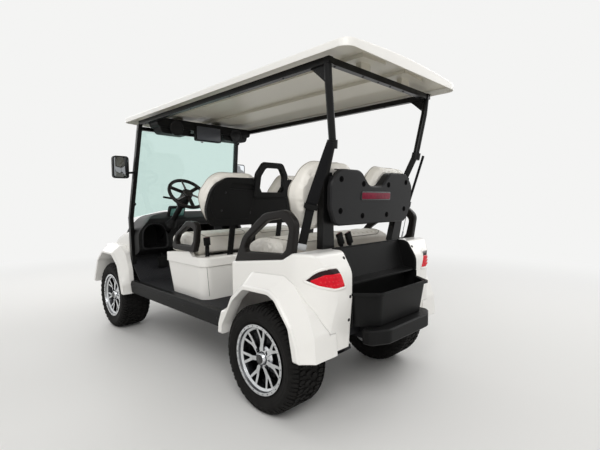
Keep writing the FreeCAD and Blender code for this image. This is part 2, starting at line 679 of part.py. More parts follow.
def screen_frame():
    """Windscreen pillars from the body sides up to the rails, and their top bar."""
    parts = [box(-RAIL_X - 8, RAIL_X + 8, -1740, -1708, RAIL_Z - 46, RAIL_Z - 16)]
    foot, head = SCREEN_FOOT, SCREEN_HEAD
    for s in (1, -1):
        parts.append(bar((s * foot[0], foot[1], foot[2]), (s * head[0], head[1], head[2]),
                         PILLAR, PILLAR))
        parts.append(bar((s * foot[0], -1821, 602), (s * foot[0], foot[1] - 2, foot[2] + 12),
                         PILLAR, PILLAR))
    return fused(*parts).cut(box(-BODY_HALF, BODY_HALF, -1900, -1600, RAIL_Z, RAIL_Z + 110))


def windscreen():
    """Flat tinted screen between the pillars, its lower edge arched over the cowl."""
    lean = math.degrees(math.atan2(SCREEN_HEAD[1] - SCREEN_FOOT[1], SCREEN_HEAD[2] - SCREEN_FOOT[2]))
    y = SCREEN_FOOT[1] - 3
    front = y - SCREEN_T / 2
    sheet = slab(both_sides([(RAIL_X + 4, RAIL_Z - 38, 8), (PILLAR_X - 11, 1000, 20),
                             (PILLAR_X - 290, 1062, 400)]), "xz", front, front + SCREEN_T)
    return turned(sheet, -lean, (0, y, 1009)).cut(screen_frame())


def rear_post(side):
    """Tapered box post from the deck up to the foot of the round strut."""
    def ring(x, y, z, width, depth):
        x0, x1, y0, y1 = x - width / 2, x + width / 2, y - depth / 2, y + depth / 2
        return Part.makePolygon([V(x0, y0, z), V(x1, y0, z), V(x1, y1, z), V(x0, y1, z), V(x0, y0, z)])

    foot = ring(side * POST[0], POST[1], DECK_Z, 96, 42)
    return Part.makeLoft([foot, ring(side * POST_TOP[0], POST_TOP[1], POST_TOP[2], 60, 42)],
                         True, True)


def rear_struts():
    """Canopy struts: round tube on the post, bent at the knee, with a gusset under the rail."""
    head = (RAIL_X, REAR_BAR_Y + RAIL / 2, RAIL_Z + 8)
    tube = bent_rod([(POST_TOP[0] - 2, POST_TOP[1] - 2, POST_TOP[2] - 20), KNEE,
                     (RAIL_X - 12, REAR_BAR_Y + 12, RAIL_Z - 91), head], STRUT_R, 90)
    tube = tube.cut(box(-BODY_HALF, BODY_HALF, 300, 500, RAIL_Z, RAIL_Z + 110))
    clamp = rod((KNEE[0] - 2, KNEE[1] - 4, KNEE[2] - 36), (KNEE[0] + 3, KNEE[1] + 2, KNEE[2] + 6),
                STRUT_R + 8)
    gusset = slab([(head[1], RAIL_Z), (head[1] - GUSSET - 22, RAIL_Z), (head[1] - GUSSET, RAIL_Z - 16, 8),
                   (head[1] - 6, RAIL_Z - GUSSET)], "yz", RAIL_X - 4, RAIL_X + 4)
    return pair(fused(tube, rear_post(1), clamp, gusset))


def seat_belts():
    """Rear shoulder belts in their sleeves, the rear buckles and the front buckles."""
    facing = (0.45, 0.9, 0)
    top = (RAIL_X - 20, KNEE[1] + 30, KNEE[2] - 12)
    collar = (POST[0] + 149, POST[1] + 32, 1114)
    anchor = (POST[0] + 161, POST[1] - 18)
    sleeve = bar(top, collar, 56, 16, facing)
    band = bar((collar[0] - 1, collar[1] + 4, collar[2] + 12),
               (collar[0] + 1, collar[1] - 4, collar[2] - 12), 66, 20, facing)
    strap = bar(collar, anchor + (DECK_Z + 20,), 48, 5, facing)
    plate = bar(anchor + (DECK_Z + GAP,), anchor + (DECK_Z + 34,), 50, 12, facing)
    guide = box(RAIL_X - 46, RAIL_X - 14, KNEE[1] + 16, KNEE[1] + 34, KNEE[2] - 18, KNEE[2] - 2)
    solids = [fused(guide, sleeve, band, strap, plate).cut(rear_struts())]
    # x, y, seat height, foot of the buckle's head and its height
    for x, y, seat, head, tall in ((36, 140, REAR_SEAT_Z, 880, 76), (106, 140, REAR_SEAT_Z, 880, 76),
                                   (CUSHION_HALF - 28, -690, POD_SEAT_Z, 846, 56)):
        stalk = rod((x, y, seat + GAP), (x, y, head + 5), 7)
        solids.append(fused(stalk, box(x - 23, x + 23, y - 10, y + 10, head, head + tall)))
    return Part.makeCompound(solids + [mirrored(solid) for solid in solids])


def mirrors():
    x0, x1 = PILLAR_X + 12, PILLAR_X + 144
    housing = slab([(x0, 1342, 20), (x1, 1342, 25), (x1, 1530, 25), (x0, 1530, 25)],
                   "xz", -1872, -1828)
    housing = housing.makeChamfer(10, [e for e in housing.Edges if e.BoundBox.YMax < -1871])
    arm = rod((PILLAR_X - 6, -1790, 1390), (x0 + 14, -1850, 1390), 9)
    return pair(housing.fuse(arm).cut(screen_frame()))


def overhead_console():
    """Speaker pods under the canopy with the wide rear-view mirror between them."""
    half = RAIL_X - RAIL / 2 - GAP
    body = slab(both_sides([(half, RAIL_Z - 41, 30), (half, RAIL_Z + 31, 20)]), "xz", -1600, -1450)
    for x in (half - 166, 166 - half):
        pod = slab([(x - 130, RAIL_Z - 89, 40), (x + 130, RAIL_Z - 89, 40),
                    (x + 145, RAIL_Z + 9, 40), (x - 145, RAIL_Z + 9, 40)], "xz", -1590, -1462)
        body = body.fuse(pod)
    panel = slab(both_sides([(128, RAIL_Z - 124, 14), (128, RAIL_Z + 9, 14)]), "xz", -1470, -1436)
    return body.fuse(panel).removeSplitter()


# Steering

def column_axis():
    a = math.radians(COLUMN_ANGLE)
    return V(0, math.cos(a), math.sin(a))


def steering_wheel():
    """Three-spoke wheel: grip ring, boss and spokes, drawn flat and tilted on the column."""
    ring = Part.makeTorus(WHEEL_RING_R - WHEEL_GRIP_R, WHEEL_GRIP_R)
    boss = Part.makeCylinder(46, 34, V(0, 0, -26))
    parts = [ring, boss]
    for angle in (90, 210, 330):
        spoke = box(30, WHEEL_RING_R - WHEEL_GRIP_R, -14, 14, -8, 4)
        spoke.rotate(V(0, 0, 0), V(0, 0, 1), angle)
        parts.append(spoke)
    wheel = fused(*parts)
    wheel.rotate(V(0, 0, 0), V(1, 0, 0), -(90 - COLUMN_ANGLE))
    wheel.translate(V(*WHEEL_HUB))
    return wheel


def steering_column():
    hub, axis = V(*WHEEL_HUB), column_axis()
    top = hub - axis * (26 + GAP)
    foot = hub - axis * 470
    tube = Part.makeCylinder(COLUMN_R, (top - foot).Length, foot, axis)
    shroud = Part.makeCylinder(44, 110, top - axis * 110, axis)
    stalk = rod((hub.x + 20, top.y - 30, top.z - 36), (hub.x + 190, top.y - 20, top.z - 10), 8)
    return fused(tube, shroud, stalk)


# Running gear

def tyre(x):
    """Balloon tyre: flat crown, sloped shoulders and bulged sidewalls down to the beads."""
    half = TYRE_W / 2
    section = [(-97, BEAD_R), (-half, 246), (22 - half, TYRE_R), (half - 22, TYRE_R), (half, 246),
               (97, BEAD_R)]
    wire = outline([(x + w, r) for w, r in section], "xz", 0)
    return Part.Face(wire).revolve(V(0, 0, 0), V(1, 0, 0), 360)


def spoke():
    """One forked spoke, straight up: its front view cut to its dished side view."""
    face = slab(both_sides([(12, 44), (13, 88, 60), (37, 164)]), "yz",
                HUB_FACE, TYRE_X + 130)
    fork = slab([(0, 102, 4), (24, 170), (-24, 170)], "yz", HUB_FACE, TYRE_X + 130)
    side = slab([(HUB_FACE + 36, 40), (HUB_FACE + 60, 40), (TYRE_X + 86, 104, 90),
                 (TYRE_X + 98, 164), (TYRE_X + 78, 164), (TYRE_X + 66, 104, 90)], "xz", -60, 60)
    return face.cut(fork).common(side)


def rim():
    """Cast wheel of the left side: rolled barrel, outer lip, hub with lug holes, forked spokes."""
    x = TYRE_X
    seat = BEAD_R - GAP
    barrel = [(x - 118, LIP_R), (x - 104, LIP_R), (x - 104, seat), (x - 84, seat), (x - 40, 150),
              (x + 60, 158), (x + 84, seat), (x + 104, seat), (x + 104, LIP_R),
              (x + 118, LIP_R), (x + 118, BEAD_R - 4), (x + 104, BEAD_R - 8), (x + 96, BEAD_R - 20),
              (x + 60, 158 - RIM_WALL), (x - 40, 150 - RIM_WALL),
              (x - 104, BEAD_R - RIM_WALL), (x - 118, BEAD_R - RIM_WALL)]
    body = Part.Face(outline(barrel, "xz", 0)).revolve(V(0, 0, 0), V(1, 0, 0), 360)
    hub = [(HUB_FACE, 0.0), (HUB_FACE, HUB_R), (HUB_FACE + 38, HUB_R), (HUB_FACE + 48, HUB_R - 8, 6),
           (HUB_FACE + 52, CAP_R + 3), (HUB_FACE + 60, CAP_R), (HUB_FACE + 72, CAP_R - 6, 8),
           (HUB_FACE + 75, 0.0)]
    body = body.fuse(Part.Face(outline(hub, "xz", 0)).revolve(V(0, 0, 0), V(1, 0, 0), 360))
    for i in range(SPOKES):
        body = body.fuse(turned(spoke(), 360 / SPOKES * i, (0, 0, 0)))
    for i in range(LUGS):
        pocket = rod((HUB_FACE + 20, 0, LUG_PCD / 2), (HUB_FACE + 80, 0, LUG_PCD / 2), LUG_POCKET_R)
        body = body.cut(turned(pocket, 360 / LUGS * (i + 0.5), (0, 0, 0)))
    return body


def wheel_rim(side):
    return rim() if side > 0 else mirrored(rim())


def moved(shape, y, z=TYRE_R):
    shape = shape.copy()
    shape.translate(V(0, y, z))
    return shape


def rear_axle():
    """Axle tube with differential, drums, spring seats and the drive motor as one plain block."""
    drum_x = HUB_FACE - 120
    parts = [rod((-drum_x, 0, TYRE_R), (drum_x, 0, TYRE_R), AXLE_TUBE_R),
             Part.makeSphere(105, V(70, 0, TYRE_R)),
             rod((70, -60, TYRE_R), (70, -345, TYRE_R), 80),
             rod((70, -330, TYRE_R), (70, -352, TYRE_R), 62)]
    for s in (1, -1):
        parts.append(rod((s * drum_x, 0, TYRE_R), (s * (HUB_FACE - GAP), 0, TYRE_R), DRUM_R))
        parts.append(box(s * SPRING_X - 30, s * SPRING_X + 30, -40, 40, LEAF_TOP + GAP, TYRE_R))
    return fused(*parts)


def springs():
    """Rear leaf springs under the axle, their rear shackles, and the four dampers."""
    leaf = Part.Wire([
        Part.Arc(V(0, -398, FRAME_Z - GAP), V(0, 0, LEAF_TOP), V(0, 360, 386)).toShape(),
        Part.LineSegment(V(0, 360, 386), V(0, 366, 362)).toShape(),
        Part.Arc(V(0, 366, 362), V(0, 0, LEAF_TOP - LEAF_T), V(0, -404, FRAME_Z - 24)).toShape(),
        Part.LineSegment(V(0, -404, FRAME_Z - 24), V(0, -398, FRAME_Z - GAP)).toShape()])
    parts = []
    for s in (1, -1):
        stack = Part.Face(leaf).extrude(V(50, 0, 0))
        stack.translate(V(s * SPRING_X - 25, 0, 0))
        stack = stack.cut(rear_axle())
        x = s * SPRING_X
        parts.append(stack.fuse(box(x - 10, x + 10, 342, 362, 370, REAR_MEMBER_Z - GAP)))
        parts.append(damper((x - s * 53, 66, 262), (x - s * 53, 205, 598)))
        x = s * (SPRING_X - 65)
        parts.append(damper((x, FRONT_AXLE, 318 + GAP), (x, FRONT_AXLE, 600)))
    return Part.makeCompound(parts)


def damper(foot, head):
    """Damper body with its thinner piston rod above."""
    part = [f + (h - f) * 0.62 for f, h in zip(foot, head)]
    return fused(rod(foot, part, 25), rod(part, head, 15))


def front_suspension():
    """Front beam with a forked end and fixed kingpin on each side, clear of the steering arms."""
    beam = box(60 - KINGPIN_X, KINGPIN_X - 60, FRONT_AXLE - 32, FRONT_AXLE + 32, 270, 318)
    parts = [beam, box(FRAME_X - 25, FRAME_X + 25, FRONT_AXLE - 32, FRONT_AXLE + 32, 318, FRAME_Z - GAP),
             box(-FRAME_X - 25, 25 - FRAME_X, FRONT_AXLE - 32, FRONT_AXLE + 32, 318, FRAME_Z - GAP)]
    for s in (1, -1):
        pin = s * KINGPIN_X
        x0, x1 = sorted((pin - s * 80, pin - s * 40))
        parts.append(box(x0, x1, FRONT_AXLE - 20, FRONT_AXLE + 20, KINGPIN_LOW - 20, KINGPIN_HIGH + 20))
        e0, e1 = sorted((pin - s * 80, pin + s * 26))
        for z in (KINGPIN_LOW - 20, KINGPIN_HIGH):
            parts.append(box(e0, e1, FRONT_AXLE - 26, FRONT_AXLE + 26, z, z + 20))
        parts.append(rod((pin, FRONT_AXLE, KINGPIN_LOW - 20), (pin, FRONT_AXLE, KINGPIN_HIGH + 20),
                         KINGPIN_R))
    return fused(*parts)


def knuckle(side):
    """Front knuckle: barrel on the kingpin, spindle, brake drum and steering arm."""
    x = side * KINGPIN_X
    face = side * (HUB_FACE - GAP)
    barrel = rod((x, FRONT_AXLE, KINGPIN_LOW + GAP), (x, FRONT_AXLE, KINGPIN_HIGH - GAP), 26)
    spindle = rod((x, FRONT_AXLE, TYRE_R), (face, FRONT_AXLE, TYRE_R), 30)
    drum = rod((face - side * 31, FRONT_AXLE, TYRE_R), (face, FRONT_AXLE, TYRE_R), DRUM_R)
    arm = bar((x, FRONT_AXLE, 300), (x - side * 20, FRONT_AXLE + 130, 300), 26, 18, (0, 0, 1))
    bore = rod((x, FRONT_AXLE, 100), (x, FRONT_AXLE, 500), KINGPIN_R + KINGPIN_FIT)
    return fused(barrel, spindle, drum, arm).cut(bore)


def frame_rails():
    """Two steel side rails, kicked up over the rear axle."""
    top, rise = FRAME_TOP, FRAME_KICK
    rail = [(-2480, FRAME_Z), (-2480, top), (-270, top, 60), (-130, top + rise, 60),
            (FRAME_REAR, top + rise), (FRAME_REAR, FRAME_Z + rise), (-110, FRAME_Z + rise, 60),
            (-250, FRAME_Z, 60)]
    return pair(slab(rail, "yz", FRAME_X - FRAME_W / 2, FRAME_X + FRAME_W / 2))


# Crossmembers: y of the front face, foot, half length, height
MEMBERS = [(-2440, FRAME_TOP - 50, 260, MEMBER), (-1890, FRAME_TOP - 50, FRAME_X, MEMBER),
           (-1600, FRAME_TOP, FLOOR_HALF - 20, FLOOR_Z - FLOOR_T - FRAME_TOP),
           (-1175, FRAME_TOP, FLOOR_HALF - 20, FLOOR_Z - FLOOR_T - FRAME_TOP),
           (-680, FRAME_TOP, FLOOR_HALF - 20, FLOOR_Z - FLOOR_T - FRAME_TOP),
           (-400, FRAME_Z, SPRING_X + 35, MEMBER), (200, REAR_MEMBER_Z, SPRING_X + 45, MEMBER),
           (200, 600, SPRING_X - 5, MEMBER), (325, REAR_MEMBER_Z, SPRING_X + 35, MEMBER)]


def crossmembers():
    """Members between, across and beside the rails, each a plain straight piece."""
    members = Part.makeCompound([box(-half, half, y, y + MEMBER, z, z + height)
                                 for y, z, half, height in MEMBERS])
    return members.cut(frame_rails())


def body_supports():
    """Uprights of the rear body and the dash, and the front dampers' brackets."""
    seat_x = SPRING_X + 20
    parts = []
    for s in (1, -1):
        upright = box(s * seat_x - 25, s * seat_x + 25, 198, 244, REAR_MEMBER_Z + MEMBER, DECK_Z)
        parts.append(upright.common(rear_form(SKIN + GAP)))
        parts.append(box(s * FRAME_X - 25, s * FRAME_X + 25, -1890, -1865, FRAME_TOP, 691))
        tower = sorted((s * (FRAME_X - 5), s * (FRAME_X + FRAME_W / 2)))
        cap = sorted((s * (FRAME_X - 5), s * (SPRING_X - 35)))
        parts.append(fused(box(tower[0], tower[1], FRONT_AXLE - 25, FRONT_AXLE + 25, FRAME_TOP, 612),
                           box(cap[0], cap[1], FRONT_AXLE - 30, FRONT_AXLE + 30, 600 + GAP, 612)))
    return Part.makeCompound(parts)


def towing_eye():
    """Plate with a round eye under the front crossmember."""
    plate = slab(both_sides([(40, -2400), (34, -2535, 30)]), "xy", FRAME_TOP - 50 - EYE_T, FRAME_TOP - 50)
    return plate.cut(rod((0, EYE_Y, 300), (0, EYE_Y, 450), EYE_R))


def battery_pack():
    """Batteries under the front seat, as one block with a raised lid."""
    case = box(-330, 330, -1090, -790, FLOOR_Z + GAP, 680)
    return case.fuse(box(-318, 318, -1078, -802, 680, 700))


def pedals():
    """Accelerator and brake pedals on levers that hang from the dash."""
    parts = []
    for x, half in ((200, 28), (320, 45)):
        pad = box(x - half, x + half, -1730, -1718, 560, 650)
        lever = bar((x, -1726, 640), (x, -1760, 686), 16, 12)
        parts.append(pad.fuse(lever).cut(dashboard()))
    return Part.makeCompound(parts)


NODES = {
    "frame_rails": frame_rails, "crossmembers": crossmembers, "body_supports": body_supports,
    "towing_eye": towing_eye, "floor_pan": floor_pan, "rocker_panels": rocker_panels,
    "front_cowl": front_cowl, "fenders": fenders, "dashboard": dashboard, "bumpers": bumpers,
    "headlamps": headlamps, "seat_pod": seat_pod, "rear_body": rear_body,
    "tail_lamps": tail_lamps, "bag_well": bag_well, "basket": basket,
    "front_seat_cushion": front_seat_cushion, "rear_seat_cushion": rear_seat_cushion,
    "backrests": backrests, "front_back_panel": front_back_panel,
    "rear_back_panel": rear_back_panel, "armrests": armrests, "roof": roof,
    "roof_frame": roof_frame, "screen_frame": screen_frame, "windscreen": windscreen,
    "rear_struts": rear_struts, "seat_belts": seat_belts, "mirrors": mirrors,
    "overhead_console": overhead_console, "steering_column": steering_column,
    "steering_wheel": steering_wheel, "pedals": pedals, "battery_pack": battery_pack,
    "rear_axle": rear_axle, "springs": springs, "front_suspension": front_suspension,
    "knuckle_left": lambda: knuckle(1), "knuckle_right": lambda: knuckle(-1),
}


def save(name, shape):
    shape = shape.copy()
    shape.translate(V(0, SHIFT, 0))
    shape.exportStep("parts/%s.step" % name)


def main():
    os.makedirs("parts", exist_ok=True)
    for name, build in NODES.items():
        save(name, build())
    for corner, side, y in (("front_left", 1, FRONT_AXLE), ("front_right", -1, FRONT_AXLE),
                            ("rear_left", 1, 0), ("rear_right", -1, 0)):
        save("tyre_" + corner, moved(tyre(side * TYRE_X), y))
        save("rim_" + corner, moved(wheel_rim(side), y))


main()
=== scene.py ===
"""Looks of a golf cart: finishes, upholstery, tyres, trim and studio."""
import json
import logging
import math
from collections.abc import Callable, Iterable
from dataclasses import dataclass, field
from enum import Enum

import bmesh
import bpy
from mathutils import Matrix, Vector
from mathutils.bvhtree import BVHTree


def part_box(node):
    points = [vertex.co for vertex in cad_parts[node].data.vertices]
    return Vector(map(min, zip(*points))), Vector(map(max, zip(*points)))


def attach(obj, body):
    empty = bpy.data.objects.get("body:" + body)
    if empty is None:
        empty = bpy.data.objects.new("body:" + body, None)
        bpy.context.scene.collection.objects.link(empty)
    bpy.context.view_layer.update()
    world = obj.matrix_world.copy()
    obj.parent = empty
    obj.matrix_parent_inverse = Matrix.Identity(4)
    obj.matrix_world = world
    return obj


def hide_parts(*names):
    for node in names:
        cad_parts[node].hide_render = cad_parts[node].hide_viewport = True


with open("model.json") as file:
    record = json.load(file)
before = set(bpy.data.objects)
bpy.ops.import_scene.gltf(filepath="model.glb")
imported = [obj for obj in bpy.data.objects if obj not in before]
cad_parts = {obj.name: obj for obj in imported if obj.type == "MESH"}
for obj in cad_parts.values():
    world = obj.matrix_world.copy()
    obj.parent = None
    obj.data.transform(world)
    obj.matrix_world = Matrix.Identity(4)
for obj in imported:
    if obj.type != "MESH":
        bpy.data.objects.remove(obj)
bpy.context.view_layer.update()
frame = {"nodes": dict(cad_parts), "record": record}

LOG = logging.getLogger("golf_cart")
MM = 0.001
WELD = 1e-6                    # metres within which two points are one
SHARP_DEGREES = 35             # edges sharper than this stay sharp in shading
AFAR = 99.0                    # mm that stand for no seam near
WAVE = 2 * math.pi / 20        # scale at which Blender's wave texture has one wave in a metre

# The same driving sizes as the solids, in mm, with y counted from the rear axle
AXLE_SHIFT = 1006.0            # from the rear axle's y to the frame's
WHEELBASE = 2112.0
TYRE_R = 292.0
TYRE_X = 513.0
HUB_FACE = TYRE_X + 32
RECLINE = 8.0                  # degrees that the padded backs lean
BACK_FOOT_Z = 970.0
FRONT_BACK_Y = -775.0
REAR_BACK_Y = 101.5
REAR_BACK_RISE = 12.0
PAD_T = 105.0

BEHIND_Y = 500.0               # planes past the cart's ends, from which lines meet its skin
BEFORE_Y = -2600.0

FORWARD = Vector((0, -1, 0))
REARWARD = Vector((0, 1, 0))
UP = Vector((0, 0, 1))
DOWN = Vector((0, 0, -1))
SIDEWAYS = Vector((1, 0, 0))
INWARD = Vector((-1, 0, 0))    # from the cart's left side
MIRROR = Matrix.Scale(-1, 4, SIDEWAYS)

NodeTree = bpy.types.NodeTree
Socket = bpy.types.NodeSocket
Mesh = bmesh.types.BMesh
Piece = bpy.types.Object
Corner = tuple[float, ...]


class Body(str, Enum):
    """Rigid bodies of the cart that pieces ride on."""

    CHASSIS = "chassis"
    SEAT_LID = "front_seat_lid"
    STEERING = "steering"
    FRONT_LEFT = "wheel_front_left"
    FRONT_RIGHT = "wheel_front_right"
    REAR_LEFT = "wheel_rear_left"
    REAR_RIGHT = "wheel_rear_right"


class Plane(Enum):
    """Planes that outlines are drawn in, as the axes of u, v and the normal."""

    XY = (0, 1, 2)
    YZ = (1, 2, 0)
    XZ = (0, 2, 1)

    def point(self, u: float, v: float, w: float) -> Vector:
        """Point u, v in the plane that stands w along its normal, in mm."""
        place = Vector((0, 0, 0))
        for axis, value in zip(self.value, (u, v, w)):
            place[axis] = value
        return place


def here(x: float, y: float, z: float) -> Vector:
    """A place on the cart, drawn in mm from the rear axle, as the scene's metres."""
    return Vector((x, y + AXLE_SHIFT, z)) * MM


FROM_AXLE = Matrix.Translation(-here(0, 0, 0))     # brings what is drawn at the rear axle to the origin


def about(place: Vector, degrees: float, axis: str) -> Matrix:
    """Turn about an axis that passes through a place."""
    turn = Matrix.Rotation(math.radians(degrees), 4, axis)
    return Matrix.Translation(place) @ turn @ Matrix.Translation(-place)


# Finishes

def linear(colour: str) -> tuple[float, float, float, float]:
    """Turn an sRGB hex colour into linear values.

    Args:
        colour: six hex digits, such as "F2EFE9".

    Returns:
        Red, green, blue and an alpha of 1.
    """
    values = []
    for i in (0, 2, 4):
        v = int(colour[i:i + 2], 16) / 255
        values.append(v / 12.92 if v <= 0.04045 else ((v + 0.055) / 1.055) ** 2.4)
    return values[0], values[1], values[2], 1.0


def add_node(tree: NodeTree, kind: str, links: dict | None = None, **settings: object) -> bpy.types.Node:
    """Add one shader node.

    Args:
        tree: node tree that takes the node.
        kind: the node's type name.
        links: input name or number to an output socket to link, or a plain value to set.
        settings: attributes of the node itself.

    Returns:
        The new node.
    """
    made = tree.nodes.new(kind)
    for key, value in settings.items():
        setattr(made, key, value)
    for key, value in (links or {}).items():
        if isinstance(value, Socket):
            tree.links.new(value, made.inputs[key])
        else:
            made.inputs[key].default_value = value
    return made


@dataclass(frozen=True)
class Finish:
    """A surface finish: its colour, gloss and fine relief.

    grain_mm is the spacing of the relief and relief_mm its height, drawn coarser than the
    real one where that would be too fine to show.
    """

    name: str
    colour: str
    roughness: float
    metallic: float = 0.0
    grain_mm: float = 1.0
    relief_mm: float = 0.02
    shade: float = 0.04            # how far the colour drifts over the piece
    drift_mm: float = 180.0
    edge_mm: float = 0.0           # radius that softens the sharp edges of a solid
    coat: float = 0.0
    coat_roughness: float = 0.06
    specular: float = 0.5          # lower where dust and pores dull a dark surface
    bands: tuple[float, float] = (0.35, 0.65)      # noise at which the two tones are full

    def relief(self, tree: NodeTree, place: Socket) -> Socket:
        """Height of the fine relief, from 0 to 1: plain noise unless a finish says otherwise."""
        noise = add_node(tree, "ShaderNodeTexNoise",
                         {"Vector": place, "Scale": 1 / (self.grain_mm * MM), "Detail": 2.0})
        return noise.outputs["Fac"]

    def tint(self, tree: NodeTree, place: Socket) -> Socket:
        """Colour that drifts a little between a darker and a lighter tone."""
        noise = add_node(tree, "ShaderNodeTexNoise",
                         {"Vector": place, "Scale": 1 / (self.drift_mm * MM), "Detail": 3.0})
        base = linear(self.colour)
        ramp = add_node(tree, "ShaderNodeValToRGB", {"Fac": noise.outputs["Fac"]})
        for stop, factor, position in zip(ramp.color_ramp.elements,
                                          (1 - self.shade, 1 + self.shade), self.bands):
            stop.position = position
            stop.color = [min(1.0, c * factor) for c in base[:3]] + [1.0]
        return ramp.outputs["Color"]

    def extras(self, tree: NodeTree, shader: bpy.types.Node, place: Socket) -> None:
        """Settings that only some finishes have."""

    def material(self) -> bpy.types.Material:
        """Build the material once and return it."""
        made = bpy.data.materials.get(self.name)
        if made:
            return made
        made = bpy.data.materials.new(self.name)
        made.use_nodes = True
        tree = made.node_tree
        tree.nodes.clear()
        place = add_node(tree, "ShaderNodeTexCoord").outputs["Object"]
        bump = add_node(tree, "ShaderNodeBump",
                        {"Height": self.relief(tree, place), "Distance": self.relief_mm * MM,
                         "Strength": 1.0})
        if self.edge_mm:
            edge = add_node(tree, "ShaderNodeBevel", {"Radius": self.edge_mm * MM}, samples=4)
            tree.links.new(edge.outputs["Normal"], bump.inputs["Normal"])
        shader = add_node(tree, "ShaderNodeBsdfPrincipled",
                          {"Base Color": self.tint(tree, place), "Roughness": self.roughness,
                           "Metallic": self.metallic, "Normal": bump.outputs["Normal"],
                           "Specular IOR Level": self.specular, "Coat Weight": self.coat,
                           "Coat Roughness": self.coat_roughness})
        self.extras(tree, shader, place)
        add_node(tree, "ShaderNodeOutputMaterial", {"Surface": shader.outputs["BSDF"]})
        return made


@dataclass(frozen=True)
class VoronoiFinish(Finish):
    """A pebbled grain, as on moulded ABS or embossed vinyl."""

    def relief(self, tree: NodeTree, place: Socket) -> Socket:
        """Rounded pebbles with creases between them."""
        cells = add_node(tree, "ShaderNodeTexVoronoi",
                         {"Vector": place, "Scale": 1 / (self.grain_mm * MM)},
                         feature="SMOOTH_F1")
        return cells.outputs["Distance"]


@dataclass(frozen=True)
class RibbedFinish(Finish):
    """Moulded ribs that run along the cart, as on a rubber floor mat."""

    def relief(self, tree: NodeTree, place: Socket) -> Socket:
        """One rib to each grain_mm, across X."""
        wave = add_node(tree, "ShaderNodeTexWave",
                        {"Vector": place, "Scale": WAVE / (self.grain_mm * MM)},
                        bands_direction="X")
        return wave.outputs["Fac"]


@dataclass(frozen=True)
class GlassFinish(Finish):
    """Clear or tinted sheet and lenses."""

    ior: float = 1.49              # acrylic's
    passing: float = 1.0           # share of the light that goes through
    lit: float = 0.0

    def extras(self, tree: NodeTree, shader: bpy.types.Node, place: Socket) -> None:
        """Let light through, and glow where a lamp is on."""
        shader.inputs["Transmission Weight"].default_value = self.passing
        shader.inputs["IOR"].default_value = self.ior
        shader.inputs["Emission Color"].default_value = linear(self.colour)
        shader.inputs["Emission Strength"].default_value = self.lit


@dataclass(frozen=True)
class FacedFinish(Finish):
    """A finish whose faces along one axis of the piece have another colour.

    axis is 0 for X and 2 for Z, low and high are where the second colour begins and is full, on
    the face's direction along it, and both ways counts the two directions alike.
    """

    second: str = "101011"
    axis: int = 0
    both_ways: bool = True
    low: float = 0.55
    high: float = 0.75

    def along(self, tree: NodeTree) -> Socket:
        """How far the face points along the axis."""
        normal = add_node(tree, "ShaderNodeTexCoord").outputs["Normal"]
        along = add_node(tree, "ShaderNodeSeparateXYZ", {0: normal}).outputs[self.axis]
        if self.both_ways:
            along = add_node(tree, "ShaderNodeMath", {0: along}, operation="ABSOLUTE").outputs[0]
        return along

    def tint(self, tree: NodeTree, place: Socket) -> Socket:
        """Blend from the second colour to the first by the face's direction."""
        first = super().tint(tree, place)
        share = add_node(tree, "ShaderNodeMapRange", {"Value": self.along(tree), "From Min": self.low,
                                                      "From Max": self.high}).outputs["Result"]
        mix = add_node(tree, "ShaderNodeMix", {0: share, 6: linear(self.second), 7: first},
                       data_type="RGBA")
        return mix.outputs[2]


@dataclass(frozen=True)
class CanopyFinish(FacedFinish):
    """A canopy whose second colour is painted shade, which also covers the walls inside its underside."""

    middle: Corner = (0, -710, 0)          # of the canopy's plan, in mm
    recess: Corner = (525, 1195, 1000)     # half of the recess inside its rim, in mm

    def along(self, tree: NodeTree) -> Socket:
        """How far the face points up, where a wall inside the rim counts as facing down."""
        apart = add_node(tree, "ShaderNodeTexCoord").outputs["Object"]
        for value, way in ((here(*self.middle), "SUBTRACT"), ((0, 0, 0), "ABSOLUTE"),
                           (Vector(self.recess) * MM, "DIVIDE")):
            apart = add_node(tree, "ShaderNodeVectorMath", {0: apart, 1: value}, operation=way).outputs[0]
        sides = add_node(tree, "ShaderNodeSeparateXYZ", {0: apart}).outputs
        far = add_node(tree, "ShaderNodeMath", {0: sides[0], 1: sides[1]}, operation="MAXIMUM")
        inside = add_node(tree, "ShaderNodeMath", {0: far.outputs[0], 1: 1.0}, operation="LESS_THAN")
        turned = add_node(tree, "ShaderNodeMath", {0: super().along(tree), 1: inside.outputs[0]},
                          operation="SUBTRACT")
        return turned.outputs[0]


@dataclass(frozen=True)
class VinylFinish(VoronoiFinish):
    """Marine vinyl over foam: fine pebbled grain with a soft sheen."""

    sheen: float = 0.15
    sheen_roughness: float = 0.4

    def extras(self, tree: NodeTree, shader: bpy.types.Node, place: Socket) -> None:
        """Add the soft sheen of stretched vinyl."""
        shader.inputs["Sheen Weight"].default_value = self.sheen
        shader.inputs["Sheen Roughness"].default_value = self.sheen_roughness


@dataclass(frozen=True)
class WebbingFinish(Finish):
    """Woven polyester webbing: a fine twill across the strap."""

    def relief(self, tree: NodeTree, place: Socket) -> Socket:
        """Twill lines, one to each grain_mm."""
        wave = add_node(tree, "ShaderNodeTexWave",
                        {"Vector": place, "Scale": WAVE / (self.grain_mm * MM), "Distortion": 0.4},
                        bands_direction="DIAGONAL")
        return wave.outputs["Fac"]


# Painted thermoplastic body: warm white under a clear coat, with faint orange peel
BODY_WHITE = Finish("painted_tpo_white", "F3F1EC", 0.30, grain_mm=9, relief_mm=0.03, shade=0.012,
                    drift_mm=400, edge_mm=5, coat=0.5)
# Canopy: glossy white outside, with painted shade: a greyer colour on its underside and on the walls
# inside its rim
CANOPY_WHITE = CanopyFinish("moulded_polyethylene_white", "F3F1EC", 0.38, grain_mm=6, relief_mm=0.04,
                            shade=0.012, drift_mm=400, edge_mm=6, second="C9C4B6", axis=2,
                            both_ways=False, low=-0.75, high=-0.45)
